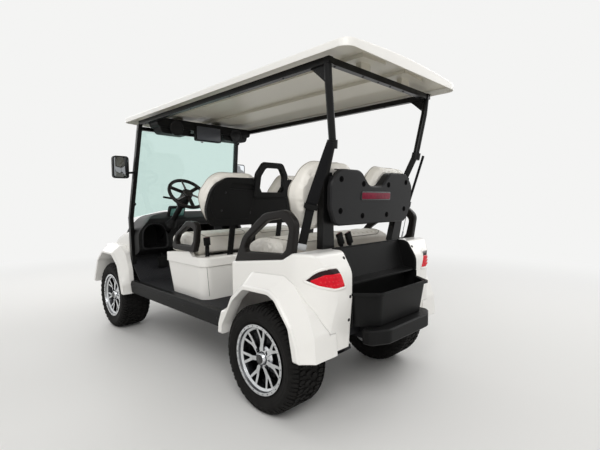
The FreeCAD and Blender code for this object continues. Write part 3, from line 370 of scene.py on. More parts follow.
# Injection-moulded ABS: fine pebble, satin, soft highlights on the edges
BLACK_ABS = VoronoiFinish("textured_abs_black", "101010", 0.5, grain_mm=1.6, relief_mm=0.10,
                          shade=0.12, edge_mm=2.5, specular=0.15)
CHARCOAL_ABS = VoronoiFinish("moulded_abs_charcoal", "1C1C1D", 0.42, grain_mm=2.0, relief_mm=0.06,
                             shade=0.08, edge_mm=3, specular=0.2)
# Armrests: soft-touch polyurethane skin
SOFT_TOUCH = VoronoiFinish("polyurethane_skin_black", "14110F", 0.4, grain_mm=1.8, relief_mm=0.08,
                           shade=0.08, edge_mm=5, specular=0.2)
# Steel tube, powder coated: satin with a faint orange peel
POWDER_COAT = Finish("powder_coated_steel_black", "0F0F0F", 0.32, grain_mm=2.2, relief_mm=0.02,
                     shade=0.06, edge_mm=1.5, specular=0.2)
CHASSIS_PAINT = Finish("chassis_enamel_black", "18181A", 0.5, grain_mm=2.5, relief_mm=0.05,
                       shade=0.12, drift_mm=60, specular=0.3)
CAST_STEEL = Finish("sand_cast_steel", "4A4B4D", 0.6, metallic=0.7, grain_mm=2.0, relief_mm=0.12,
                    shade=0.12, drift_mm=40)
# Diamond-cut cast alloy: bright faces with the tool's fine lines
CAST_ALLOY = FacedFinish("diamond_cut_alloy", "D2D4D6", 0.22, metallic=1.0, grain_mm=1.2,
                         relief_mm=0.01, shade=0.05, drift_mm=30, edge_mm=1.6, second="6C6D70",
                         low=0.2, high=0.45)
TYRE_RUBBER = Finish("carbon_black_rubber", "171615", 0.78, grain_mm=1.5, relief_mm=0.10,
                     shade=0.18, drift_mm=50, specular=0.15)
MAT_RUBBER = RibbedFinish("ribbed_rubber_mat", "17171A", 0.7, grain_mm=14, relief_mm=1.6, shade=0.08,
                          specular=0.3)
CREAM_VINYL = VinylFinish("marine_vinyl_cream", "ECE8DF", 0.42, grain_mm=2.2, relief_mm=0.06,
                          shade=0.025, drift_mm=90)
# Welt cord covered in the same vinyl, coloured greyer than the cover
PIPING_VINYL = VinylFinish("welted_vinyl_grey", "A39E94", 0.5, grain_mm=2.2, relief_mm=0.06, shade=0.08)
BELT_WEBBING = WebbingFinish("polyester_webbing_black", "111112", 0.65, grain_mm=2.4, relief_mm=0.25,
                             shade=0.05, specular=0.15)
# Cast acrylic windscreen, lightly green tinted
TINTED_SHEET = GlassFinish("cast_acrylic_green", "D3EBE6", 0.03, relief_mm=0.0, shade=0.0)
CLEAR_LENS = GlassFinish("polycarbonate_clear", "F2F5F7", 0.03, relief_mm=0.0, shade=0.0, ior=1.58,
                         passing=0.85)
# Tail lamp: bright red prisms that are lit from behind, framed by a dark red band that is painted shade of
# the lamp's recess
RED_LENS = GlassFinish("polycarbonate_red", "CC0820", 0.12, relief_mm=0.0, shade=0.1, drift_mm=40,
                       specular=0.2, passing=0.0, lit=0.15)
RECESS_SHADE_LENS = GlassFinish("red_lens_painted_recess_shade", "26050A", 0.1, relief_mm=0.0, shade=0.05,
                          specular=0.25, passing=0.0)
BATTERY_CASE = Finish("moulded_pp_dark", "2A2B2E", 0.55, grain_mm=2.0, relief_mm=0.05, edge_mm=3)
ZINC_BOLT = Finish("black_zinc_bolt", "161617", 0.4, metallic=0.4, grain_mm=0.8, relief_mm=0.01)
SILVER_METAL = Finish("zinc_plated_steel", "B9BBBD", 0.3, metallic=1.0, grain_mm=0.8, relief_mm=0.01)
SILVER_SATIN = Finish("brushed_aluminium_satin", "9C9EA0", 0.38, metallic=1.0, grain_mm=0.7,
                      relief_mm=0.01, edge_mm=1)
CHROME = Finish("chrome_plated_abs", "D8DADC", 0.08, metallic=1.0, grain_mm=4, relief_mm=0.002)
MIRROR_GLASS = Finish("silvered_glass", "94979A", 0.02, metallic=1.0, grain_mm=20, relief_mm=0.001,
                      shade=0.01)
BLACK_GLOSS = Finish("glossy_abs_black", "121213", 0.22, grain_mm=3, relief_mm=0.01, shade=0.05,
                     edge_mm=1.5, coat=0.3)
# Display covers: dark glass with a faint drift of reflections from the coating
SCREEN_GLASS = Finish("coated_display_glass", "43464E", 0.3, grain_mm=8, relief_mm=0.004, shade=0.15,
                      drift_mm=120, edge_mm=1)
DISPLAY_TEAL = Finish("backlit_display_glass", "5E8C84", 0.15, grain_mm=8, relief_mm=0.004, shade=0.35,
                      drift_mm=40, edge_mm=1)
# Extruded rubber: dull with fine lines
RUBBER_TRIM = Finish("extruded_rubber_black", "141414", 0.6, grain_mm=1.5, relief_mm=0.05, shade=0.1,
                     specular=0.15)
SLEEVE_CLOTH = WebbingFinish("padded_nylon_black", "121214", 0.75, grain_mm=3.0, relief_mm=0.3,
                             shade=0.08, specular=0.15)
# Prismatic acrylic: a fine pyramid grid, drawn at twice its real size
REFLECTOR_RED = VoronoiFinish("prismatic_acrylic_red", "74122C", 0.3, grain_mm=5, relief_mm=0.5,
                              shade=0.2, drift_mm=20, specular=0.12)
RED_OPTIC = Finish("moulded_acrylic_red", "DE1C2E", 0.14, grain_mm=3, relief_mm=0.01, shade=0.06,
                   specular=0.3)
BUTTON_RED = Finish("moulded_abs_red", "6E1418", 0.4, grain_mm=1.5, relief_mm=0.02, shade=0.05, edge_mm=1)
GRILLE_STEEL = VoronoiFinish("perforated_steel_black", "1A1A1B", 0.4, metallic=0.6, grain_mm=4.5,
                             relief_mm=1.2, shade=0.1)
# Painted shade of the shells' deep fastening sockets, near black on their shallow cups and bolt heads
SOCKET_SHADE = Finish("socket_painted_shade", "060606", 0.9, grain_mm=2, relief_mm=0.02, specular=0.05)
# The dark line of a gap between two mouldings
SHADOW_GAP = Finish("open_joint_dark", "3A3935", 0.9, grain_mm=3, relief_mm=0.02, shade=0.05)
NODE_FINISH = {"roof": CANOPY_WHITE, "armrests": SOFT_TOUCH, "steering_wheel": SOFT_TOUCH,
               "front_back_panel": BLACK_ABS}
SLOT_FINISH = {
    "body_white": BODY_WHITE, "black_steel": POWDER_COAT, "frame_steel": CHASSIS_PAINT,
    "cast_steel": CAST_STEEL, "black_plastic": BLACK_ABS, "floor_mat": MAT_RUBBER,
    "panel_plastic": CHARCOAL_ABS, "vinyl": CREAM_VINYL, "webbing": BELT_WEBBING,
    "glass": TINTED_SHEET, "lamp_clear": CLEAR_LENS, "lamp_red": RED_LENS,
    "battery_case": BATTERY_CASE, "alloy": CAST_ALLOY, "tyre": TYRE_RUBBER,
}


# Mesh helpers

def finished(shape: Mesh, name: str, finish: Finish, body: str, slot: str,
             smooth: bool = True) -> Piece:
    """Turn a bmesh into a piece of the cart.

    Args:
        shape: the mesh, in place, in metres; it is freed here.
        name: the piece's name.
        finish: its finish.
        body: the body that it rides on.
        slot: the record's material slot; not used.
        smooth: whether its faces shade smoothly where they aren't sharp.

    Returns:
        The piece's object, at the origin.
    """
    mesh = bpy.data.meshes.new(name)
    shape.to_mesh(mesh)
    shape.free()
    piece = bpy.data.objects.new(name, mesh)
    bpy.context.scene.collection.objects.link(piece)
    mesh.materials.append(finish.material())
    if smooth:
        for face in mesh.polygons:
            face.use_smooth = True
        mesh.set_sharp_from_angle(angle=math.radians(SHARP_DEGREES))
    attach(piece, body)
    LOG.info("made %s: %d faces", name, len(mesh.polygons))
    return piece


def added(made: dict, kind: type) -> list:
    """What an extrusion made of one kind, such as its faces."""
    return [item for item in made["geom"] if isinstance(item, kind)]


def everything(shape: Mesh) -> list:
    """Every vertex, edge and face of a mesh."""
    return shape.verts[:] + shape.edges[:] + shape.faces[:]


def rounded(shape: Mesh, items: list, reach: float, segments: int, affect: str = "EDGES") -> None:
    """Round edges or corners off.

    Args:
        shape: the mesh, changed in place.
        items: its edges or corners.
        reach: how far the rounding reaches, in the mesh's own unit.
        segments: steps of the rounding.
        affect: "EDGES" or "VERTICES".
    """
    bmesh.ops.bevel(shape, geom=items, offset=reach, offset_type="OFFSET", segments=segments,
                    profile=0.5, affect=affect, material=-1)


def solid_copy(node: str) -> Mesh:
    """Copy a solid's mesh and join its loose triangles.

    Args:
        node: the solid's name.

    Returns:
        A closed bmesh whose flat faces are whole again.
    """
    shape = bmesh.new()
    shape.from_mesh(frame["nodes"][node].data)
    bmesh.ops.remove_doubles(shape, verts=shape.verts, dist=WELD * 10)
    flat = math.radians(1)
    bmesh.ops.dissolve_limit(shape, angle_limit=flat, verts=shape.verts, edges=shape.edges)
    return shape


def joined(parts: Iterable[Mesh]) -> Mesh:
    """Put several meshes into one; the parts are freed."""
    whole = bmesh.new()
    for part in parts:
        mesh = bpy.data.meshes.new("part")
        part.to_mesh(mesh)
        part.free()
        whole.from_mesh(mesh)
        bpy.data.meshes.remove(mesh)
    return whole


def copied(shape: Mesh, places: Iterable[Matrix]) -> Mesh:
    """Copies of a small mesh at several places; the original is freed."""
    parts = []
    for place in places:
        part = shape.copy()
        part.transform(place)
        parts.append(part)
    shape.free()
    return joined(parts)


def mirrored(shape: Mesh) -> Mesh:
    """The left piece with its mirror image, faces outwards."""
    twin = shape.copy()
    twin.transform(MIRROR)
    bmesh.ops.reverse_faces(twin, faces=twin.faces)
    return joined((shape, twin))


def face_of(corners: list[Corner], plane: Plane, level: float, segments: int = 5) -> Mesh:
    """Flat face whose corners are rounded.

    Args:
        corners: u, v and an optional radius of each corner, in mm.
        plane: the plane of u and v.
        level: place along the plane's normal.
        segments: steps of each rounded corner.

    Returns:
        A bmesh of the one face.
    """
    shape = bmesh.new()
    points = [plane.point(c[0], c[1], level) for c in corners]
    verts = [shape.verts.new(here(*point)) for point in points]
    shape.faces.new(verts)
    for i, vert in enumerate(verts):
        radius = corners[i][2] if len(corners[i]) > 2 else 0
        if not radius:
            continue
        before = (points[i - 1] - points[i]).normalized()
        after = (points[(i + 1) % len(points)] - points[i]).normalized()
        reach = radius / math.tan(before.angle(after) / 2)
        rounded(shape, [vert], reach * MM, segments, "VERTICES")
    return shape


def block(corners: list[Corner], plane: Plane, low: float, high: float, edge: float = 0.0,
          segments: int = 5) -> Mesh:
    """Plate between two levels, with its face at the high level softened.

    Args:
        corners: u, v and an optional radius of each corner, in mm.
        plane: the plane of the outline.
        low: level of the seated face.
        high: level of the outer face.
        edge: width of the bevel around the outer face.
        segments: steps of each rounded corner.

    Returns:
        A closed bmesh.
    """
    shape = face_of(corners, plane, low, segments)
    tops = added(bmesh.ops.extrude_face_region(shape, geom=shape.faces[:]), bmesh.types.BMFace)
    bmesh.ops.translate(shape, verts=list({v for f in tops for v in f.verts}),
                        vec=plane.point(0, 0, high - low) * MM)
    bmesh.ops.recalc_face_normals(shape, faces=shape.faces)
    if edge:
        rounded(shape, list({e for f in tops for e in f.edges}), edge * MM, 2)
    return shape


def cuboid(x: tuple[float, float], y: tuple[float, float], z: tuple[float, float],
           edge: float) -> Mesh:
    """Small moulded block between two corners, every edge rounded."""
    shape = bmesh.new()
    bmesh.ops.create_cube(shape, size=1.0)
    low, high = here(x[0], y[0], z[0]), here(x[1], y[1], z[1])
    bmesh.ops.scale(shape, vec=high - low, verts=shape.verts)
    bmesh.ops.translate(shape, vec=(high + low) / 2, verts=shape.verts)
    rounded(shape, shape.edges[:], edge * MM, 3)
    return shape


def spun(profile: list[tuple[float, float]], segments: int = 12,
         closed: bool = False) -> Mesh:
    """Turned shape about Z, at the origin.

    Args:
        profile: height and radius of each step, in mm.
        segments: steps round the axis.
        closed: whether the profile's ends join, as for a ring.

    Returns:
        A closed bmesh with outward normals.
    """
    shape = bmesh.new()
    verts = [shape.verts.new(Vector((radius, 0, height)) * MM) for height, radius in profile]
    pairs = list(zip(verts, verts[1:])) + ([(verts[-1], verts[0])] if closed else [])
    edges = [shape.edges.new(pair) for pair in pairs]
    bmesh.ops.spin(shape, geom=verts + edges, cent=(0, 0, 0), axis=(0, 0, 1), angle=2 * math.pi,
                   steps=segments, use_merge=True)
    bmesh.ops.remove_doubles(shape, verts=shape.verts, dist=WELD)
    bmesh.ops.recalc_face_normals(shape, faces=shape.faces)
    return shape


def facing(place: Vector, normal: Vector, turn: float = 0.0) -> Matrix:
    """Matrix that stands a shape drawn along Z at a place, pointing along the normal."""
    stand = normal.to_track_quat("Z", "Y").to_matrix().to_4x4()
    return Matrix.Translation(place) @ stand @ Matrix.Rotation(math.radians(turn), 4, "Z")


def spaced(points: list[Vector], step: float, closed: bool) -> list[Vector]:
    """Points of a route again, at an even spacing.

    Args:
        points: the route, in metres.
        step: the spacing, in metres.
        closed: whether the route returns to its start.

    Returns:
        The evenly spaced points.
    """
    ring = points + points[:1] if closed else points
    lengths = [(b - a).length for a, b in zip(ring, ring[1:])]
    count = max(2, round(sum(lengths) / step))
    wanted = [sum(lengths) * i / count for i in range(count if closed else count + 1)]
    even, done, k = [], 0.0, 0
    for distance in wanted:
        while k < len(lengths) - 1 and done + lengths[k] < distance:
            done += lengths[k]
            k += 1
        share = min(1.0, (distance - done) / max(lengths[k], 1e-9))
        even.append(ring[k].lerp(ring[k + 1], share))
    return even


def tube(routes: list[list[Vector]], radius: float, closed: bool, sides: int = 1) -> Mesh:
    """Round tubes along routes.

    Args:
        routes: points of each route, in metres.
        radius: the tubes' radius, in mm.
        closed: whether each route returns to its start.
        sides: fineness of the round section.

    Returns:
        The tubes in one bmesh.
    """
    data = bpy.data.curves.new("route", "CURVE")
    data.dimensions = "3D"
    data.bevel_depth = radius * MM
    data.bevel_resolution = sides
    data.use_fill_caps = not closed
    for route in routes:
        spline = data.splines.new("POLY")
        spline.points.add(len(route) - 1)
        for point, place in zip(spline.points, route):
            point.co = (*place, 1.0)
        spline.use_cyclic_u = closed
    holder = bpy.data.objects.new("route", data)
    mesh = bpy.data.meshes.new_from_object(holder)
    shape = bmesh.new()
    shape.from_mesh(mesh)
    bmesh.ops.remove_doubles(shape, verts=shape.verts, dist=WELD)
    bpy.data.objects.remove(holder)
    bpy.data.curves.remove(data)
    bpy.data.meshes.remove(mesh)
    return shape


def outline(corners: Iterable[Corner], plane: Plane, level: float, step: float = 0.0) -> list[Vector]:
    """Points in order round a rounded outline.

    Args:
        corners: u, v and an optional radius of each corner, in mm.
        plane: the plane of the outline.
        level: place along the plane's normal.
        step: spacing of the points in mm, or 0 for the corners' own steps.

    Returns:
        The points, in metres.
    """
    shape = face_of(list(corners), plane, level)
    shape.faces.ensure_lookup_table()
    points = [loop.vert.co.copy() for loop in shape.faces[0].loops]
    shape.free()
    return spaced(points, step * MM, True) if step else points


class Skin:
    """Surface of some solids, on which small pieces are seated."""

    def __init__(self, *nodes: str) -> None:
        """Gather the surfaces of the named solids."""
        shape = bmesh.new()
        for node in nodes:
            shape.from_mesh(frame["nodes"][node].data)
        self.tree = BVHTree.FromBMesh(shape)
        shape.free()

    def hit(self, start: Vector, towards: Vector) -> tuple[Vector, Vector]:
        """Place and outward normal where a line from start first meets the surface.

        Args:
            start: a place outside, in metres.
            towards: direction of the line.

        Returns:
            The place and the unit normal that points back to the start.
        """
        place, normal, _, _ = self.tree.ray_cast(start, towards)
        if place is None:
            place, normal, _, _ = self.tree.find_nearest(start)
        return place, (normal if normal.dot(towards) < 0 else -normal)

    def laid(self, route: list[Vector], towards: Vector, lift: float) -> list[Vector]:
        """Move each point of a route onto the surface, lifted by some mm."""
        seats = [self.hit(point, towards) for point in route]
        return [place + normal * lift * MM for place, normal in seats]


def bolt_head(radius: float) -> Mesh:
    """Domed bolt head with a socket and a washer, seated at z = 0."""
    return spun([(0.25 * radius, 0.0), (0.25 * radius, 0.32 * radius), (0.62 * radius, 0.4 * radius),
                 (0.5 * radius, 0.78 * radius), (0.22 * radius, radius), (0.2 * radius, 1.3 * radius),
                 (0.0, 1.4 * radius), (-1.5, 1.4 * radius), (-1.5, 0.0)], 10)


def bolts(skin: Skin, places: list[Vector], towards: Vector, radius: float) -> Mesh:
    """Bolt heads seated where lines from the places meet a surface."""
    return copied(bolt_head(radius), [facing(*skin.hit(place, towards)) for place in places])


# Sub-assemblies

@dataclass
class Upholstery:
    """Padded seats: foam forms swollen in their covers, then sewn channels and piping."""

    voxel_mm: float = 8.0
    shrink_mm: float = 9.0         # how much smaller the foam starts
    swell_mm: float = 19.0         # how far a point may move
    pressure: float = 5.0
    frames: int = 20               # steps of the simulation
    fill: float = 0.7
    channel_mm: float = 4.5        # depth of the sewn channels
    stitch_mm: float = 4.5         # reach of the pinch at a seam
    dip_mm: float = 12.0           # reach of the softer dip round it
    dip_share: float = 0.35
    seam_reach: float = 30.0       # beyond this a seam pulls nothing in
    piping_mm: float = 3.0
    piping_step: float = 9.0
    piping_lift: float = 0.8
    panel_x: tuple[float, float] = (70, 470)       # sewn panel of one place on a bench
    panel_hems: tuple[float, float] = (62, 46)     # plain cover before and behind it
    panel_z: float = 84.0                          # over the cushion's underside
    bench_gap: float = 50.0                        # from channel to channel
    hem_mm: float = 6.0                            # plain ends of the channels
    welt_x: tuple[float, float] = (66, 474)
    welt_out: float = 8.0                          # from the panel's ends to its piping
    insert: tuple[Corner, ...] = ((92, 1030, 40), (452, 1016, 90), (508, 1100, 90), (528, 1195, 90),
                                  (440, 1318, 130), (150, 1324, 90), (92, 1226, 40))
    insert_x: tuple[float, float] = (108, 512)     # channels of a back's insert
    insert_depth: float = 50.0
    insert_slopes: tuple[float, float] = (1.5, 1.35)
    insert_hem: float = 8.0
    back_gap: float = 52.0
    shoulder: tuple[Corner, ...] = ((22, 980, 30), (468, 972, 100), (536, 1084, 110), (576, 1200, 130),
                                    (466, 1368, 170), (134, 1370, 110), (38, 1238, 40))
    shoulder_depth: float = 26.0

    def meshed(self, piece: Piece) -> Mesh:
        """Read a piece's mesh with its modifiers applied."""
        graph = bpy.context.evaluated_depsgraph_get()
        mesh = bpy.data.meshes.new_from_object(piece.evaluated_get(graph))
        shape = bmesh.new()
        shape.from_mesh(mesh)
        bpy.data.meshes.remove(mesh)
        return shape

    def holder(self, shape: Mesh) -> Piece:
        """Stand a bmesh in the scene for a while; the bmesh is freed."""
        mesh = bpy.data.meshes.new("foam")
        shape.to_mesh(mesh)
        shape.free()
        piece = bpy.data.objects.new("foam", mesh)
        bpy.context.scene.collection.objects.link(piece)
        return piece

    def swollen(self, shape: Mesh, rests: list[tuple[Vector, Vector]]) -> Mesh:
        """Swell a foam form as a stuffed cover does.

        Args:
            shape: the foam's solid form; it is freed here.
            rests: a place and an outward normal of each plane that it rests against.

        Returns:
            The crowned closed form, with one subdivision.
        """
        piece = self.holder(shape)
        skin = piece.modifiers.new("skin", "REMESH")
        skin.mode = "VOXEL"
        skin.voxel_size = self.voxel_mm * MM
        form = self.meshed(piece)
        bpy.data.objects.remove(piece)
        form.normal_update()
        for vert in form.verts:
            vert.co -= vert.normal * self.shrink_mm * MM
        start = [vert.co.copy() for vert in form.verts]
        piece = self.holder(form)
        cover = piece.modifiers.new("cover", "CLOTH")
        cover.settings.quality = 4
        cover.settings.use_pressure = True
        cover.settings.uniform_pressure_force = self.pressure
        cover.settings.effector_weights.gravity = 0.0
        cover.point_cache.frame_start = 1
        cover.point_cache.frame_end = self.frames
        for step in range(1, self.frames + 1):
            bpy.context.scene.frame_set(step)
        form = self.meshed(piece)
        bpy.data.objects.remove(piece)
        bpy.context.scene.frame_set(1)
        for vert, origin in zip(form.verts, start):
            path = vert.co - origin
            if path.length > self.swell_mm * MM:
                vert.co = origin + path.normalized() * self.swell_mm * MM
            for place, normal in rests:
                outside = (vert.co - place).dot(normal)
                if outside > 0:
                    vert.co -= normal * outside
        piece = self.holder(form)
        smooth = piece.modifiers.new("smooth", "SUBSURF")
        smooth.levels = smooth.render_levels = 1
        form = self.meshed(piece)
        bpy.data.objects.remove(piece)
        form.normal_update()
        return form

    def sewn(self, form: Mesh, reach: Callable[[Vector], float]) -> None:
        """Pull a cover in along its seams.

        Args:
            form: the swollen cover, changed in place.
            reach: distance in mm from a place to the nearest seam.
        """
        form.normal_update()
        pulls = [(vert, vert.normal.copy(), reach(vert.co)) for vert in form.verts]
        for vert, normal, distance in pulls:
            if distance < self.seam_reach:
                pinch = math.exp(-(distance / self.stitch_mm) ** 2)
                dip = self.dip_share * math.exp(-(distance / self.dip_mm) ** 2)
                vert.co -= normal * self.channel_mm * MM * (pinch + dip)

    def piped(self, form: Mesh, routes: list[list[Vector]], towards: Vector | None,
              closed: bool = True) -> Mesh:
        """Lay piping on a cover along routes.

        Args:
            form: the finished cover.
            routes: routes near the cover, in metres.
            towards: direction in which each route falls on the cover, or none for the nearest place.
            closed: whether the routes return to their start.

        Returns:
            The piping's tubes.
        """
        tree = BVHTree.FromBMesh(form)
        lines = []
        for route in routes:
            line = []
            for point in spaced(route, self.piping_step * MM, closed):
                place, normal = None, None
                if towards is not None:
                    place, normal, _, _ = tree.ray_cast(point - towards * 0.1, towards)
                if place is None:
                    place, normal, _, _ = tree.find_nearest(point)
                line.append(place + normal * self.piping_lift * MM)
            for _ in range(2):
                line = [(line[i - 1] + line[i] * 2 + line[(i + 1) % len(line)]) / 4
                        if closed or 0 < i < len(line) - 1 else line[i] for i in range(len(line))]
            lines.append(line)
        return tube(lines, self.piping_mm, closed)

    def seat(self, node: str, body: Body, name: str, front: float, back: float, foot: float) -> None:
        """Make a bench cushion with two channelled places.

        Args:
            node: the solid that it stands for.
            body: the body that it rides on.
            name: the cushion's name.
            front: y of its front edge.
            back: y of its rear edge.
            foot: height of its flat underside.
        """
        form = self.swollen(solid_copy(node), [(here(0, 0, foot), DOWN), (here(0, back, 0), REARWARD)])
        low_x, high_x = self.panel_x
        low_y, high_y = front + self.panel_hems[0], back - self.panel_hems[1]
        half = self.bench_gap / 2

        def reach(place: Vector) -> float:
            """Distance to the nearest channel of the two places."""
            x, y, z = abs(place.x / MM), place.y / MM - AXLE_SHIFT, place.z / MM
            if z < foot + self.panel_z or not low_x < x < high_x or not low_y < y < high_y:
                return AFAR
            across = abs((x - low_x) % self.bench_gap - half)
            ends = min(y - low_y, high_y - y)
            return half - across if ends > self.hem_mm else AFAR

        self.sewn(form, reach)
        inner, outer = self.welt_x
        near, far = low_y - self.welt_out, high_y + self.welt_out
        inset = [(inner, near, 60), (outer, near, 90), (outer, far, 60), (inner, far, 30)]
        ring = outline(inset, Plane.XY, foot + 200)
        rings = [ring, [Vector((-p.x, p.y, p.z)) for p in ring]]
        piping = self.piped(form, rings, DOWN)
        seat = finished(form, name, CREAM_VINYL, body, "vinyl")
        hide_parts(node)
        finished(piping, name + "_piping", PIPING_VINYL, body, "vinyl")

    def lean(self, row_y: float, rise: float) -> Matrix:
        """Matrix from an upright back at the front row to its reclined place in a row."""
        tilt = about(here(0, FRONT_BACK_Y, BACK_FOOT_Z), -RECLINE, "X")
        return Matrix.Translation(Vector((0, row_y - FRONT_BACK_Y, rise)) * MM) @ tilt

    def backs(self) -> None:
        """Make the four padded backs from one swollen form."""
        upright = self.lean(FRONT_BACK_Y, 0).inverted()
        form = solid_copy("backrests")
        away = [v for v in form.verts if v.co.x < 0 or v.co.y > here(0, -300, 0).y]
        bmesh.ops.delete(form, geom=away, context="VERTS")
        form.transform(upright)
        form = self.swollen(form, [(here(0, FRONT_BACK_Y + PAD_T, 0), REARWARD)])
        heel, hip, _, _, temple, crown, neck = self.insert
        low_x, high_x = self.insert_x
        steep, fall = self.insert_slopes

        def reach(place: Vector) -> float:
            """Distance to the nearest channel of the insert."""
            x, y, z = place.x / MM, place.y / MM - AXLE_SHIFT, place.z / MM
            if y > FRONT_BACK_Y + self.insert_depth:
                return AFAR
            top = min(crown[1] - 10, neck[1] + (x - neck[0]) * steep, temple[1] - (x - temple[0]) * fall)
            foot = heel[1] if x < hip[0] else hip[1] + (x - hip[0]) * steep
            if not low_x < x < high_x or not foot + self.insert_hem < z < top - self.insert_hem:
                return AFAR
            return abs((x - low_x) % self.back_gap - self.back_gap / 2)

        self.sewn(form, reach)
        face = outline(self.insert, Plane.XZ, FRONT_BACK_Y - 20)
        edge = outline(self.shoulder, Plane.XZ, FRONT_BACK_Y + self.shoulder_depth)
        piping = joined((self.piped(form, [face], REARWARD), self.piped(form, [edge], None)))
        for row, row_y, rise in (("front", FRONT_BACK_Y, 0), ("rear", REAR_BACK_Y, REAR_BACK_RISE)):
            place = self.lean(row_y, rise)
            for side, turn in (("left", Matrix.Identity(4)), ("right", MIRROR)):
                for part, finish, end in ((form, CREAM_VINYL, "padded_back"),
                                          (piping, PIPING_VINYL, "back_piping")):
                    copy = part.copy()
                    copy.transform(turn @ place)
                    if side == "right":
                        bmesh.ops.reverse_faces(copy, faces=copy.faces)
                    piece = finished(copy, f"{row}_{side}_{end}", finish, Body.CHASSIS, "vinyl")
                    if finish is CREAM_VINYL:
                        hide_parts("backrests")
        form.free()
        piping.free()

    def build(self) -> None:
        """Make both benches."""
        self.seat("front_seat_cushion", Body.SEAT_LID, "front_bench_cushion", -1193, -790, 766.3)
        self.seat("rear_seat_cushion", Body.CHASSIS, "rear_bench_cushion", -245, 88, 800.3)
        self.backs()


@dataclass
class Tyre:
    """All-terrain balloon tyre: bulged carcass with tread blocks wrapped round its crown."""

    node: str
    body: Body
    side: int
    axle_y: float
    crown_r: float = 282.5
    crown_half: float = 90.0       # half width over which the crown is level
    crown_fall: float = 0.021      # how fast it then falls, per mm
    steps: int = 120
    pitches: int = 36
    block_h: float = 9.5
    block_edge: float = 1.3
    block_sunk: float = 2.5        # how deep the blocks stand in the casing
    shoulder_cuts: tuple[float, ...] = (98, 106, 114)
    shoulder_half: float = 108.0   # beyond it the blocks thin out
    shoulder_share: float = 0.72

    def crown(self, across: float) -> float:
        """Radius of the carcass at some distance from the tyre's middle plane."""
        return self.crown_r - max(0.0, abs(across) - self.crown_half) ** 2 * self.crown_fall

    def carcass(self) -> Mesh:
        """Smooth casing with a rim guard and two raised rings on each sidewall."""
        half = [(0, self.crown_r), (60, self.crown_r), (90, 282.2), (106, 277), (117, 267),
                (122.5, 256), (124.5, 249), (126, 247), (126, 240), (125, 238), (125, 226),
                (123.5, 224), (121, 213), (120.5, 208), (117, 205), (113, 198), (108, 193),
                (106, 188), (97, 181), (97, 178)]
        profile = half + [(-u, r) for u, r in reversed(half[1:])]
        return spun(profile, self.steps, closed=True)

    def tread_pitch(self) -> list[list[tuple[float, float]]]:
        """Outlines of one pitch of tread blocks, across and along, in mm."""
        left = [[(3, 3), (20, -3), (40, 6), (42, 20), (26, 28), (20, 20), (5, 20)],
                [(48, -8), (66, -14), (84, -8), (86, 8), (68, 14), (62, 6), (48, 8)],
                [(50, 15), (62, 13), (70, 20), (86, 15), (86, 26), (70, 31), (50, 28)],
                [(92, -2), (123, -6), (123, 14), (92, 16)],
                [(92, 22), (116, 20), (116, 34), (92, 36)]]
        half = math.pi * self.crown_r / self.pitches
        right = [[(-u, s + half) for u, s in reversed(points)] for points in left]
        return left + right

    def tread(self) -> Mesh:
        """Blocks extruded on the flat, wrapped round the crown and turned round the axle."""
        parts = []
        for points in self.tread_pitch():
            shape = bmesh.new()
            face = shape.faces.new([shape.verts.new((u, s, -self.block_sunk)) for u, s in points])
            if face.normal.z < 0:
                face.normal_flip()
            tops = added(bmesh.ops.extrude_face_region(shape, geom=[face]), bmesh.types.BMFace)
            bmesh.ops.translate(shape, verts=list({v for f in tops for v in f.verts}),
                                vec=(0, 0, self.block_h + self.block_sunk))
            bmesh.ops.recalc_face_normals(shape, faces=shape.faces)
            rounded(shape, list({e for f in tops for e in f.edges}), self.block_edge, 1)
            for cut in self.shoulder_cuts:
                for side in (cut, -cut):
                    bmesh.ops.bisect_plane(shape, geom=everything(shape), dist=1e-4,
                                           plane_co=(side, 0, 0), plane_no=(1, 0, 0))
            for vert in shape.verts:
                across, along, height = vert.co
                angle = along / self.crown_r
                share = self.shoulder_share if abs(across) > self.shoulder_half else 1.0
                radius = self.crown(across) + height * share
                vert.co = Vector((radius * math.sin(angle), radius * math.cos(angle), across)) * MM
            parts.append(shape)
        pitch = joined(parts)
        step = 2 * math.pi / self.pitches
        bmesh.ops.spin(pitch, geom=everything(pitch), cent=(0, 0, 0), axis=(0, 0, 1),
                       angle=step * (self.pitches - 1), steps=self.pitches - 1, use_duplicate=True)
        return pitch

    def build(self) -> None:
        """Make the tyre and stand it on its axle."""
        shape = joined((self.carcass(), self.tread()))
        shape.transform(facing(here(self.side * TYRE_X, self.axle_y, TYRE_R), Vector((self.side, 0, 0))))
        tyre = finished(shape, self.node.replace("tyre", "all_terrain_tyre"), TYRE_RUBBER, self.body,
                        "tyre")
        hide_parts(self.node)


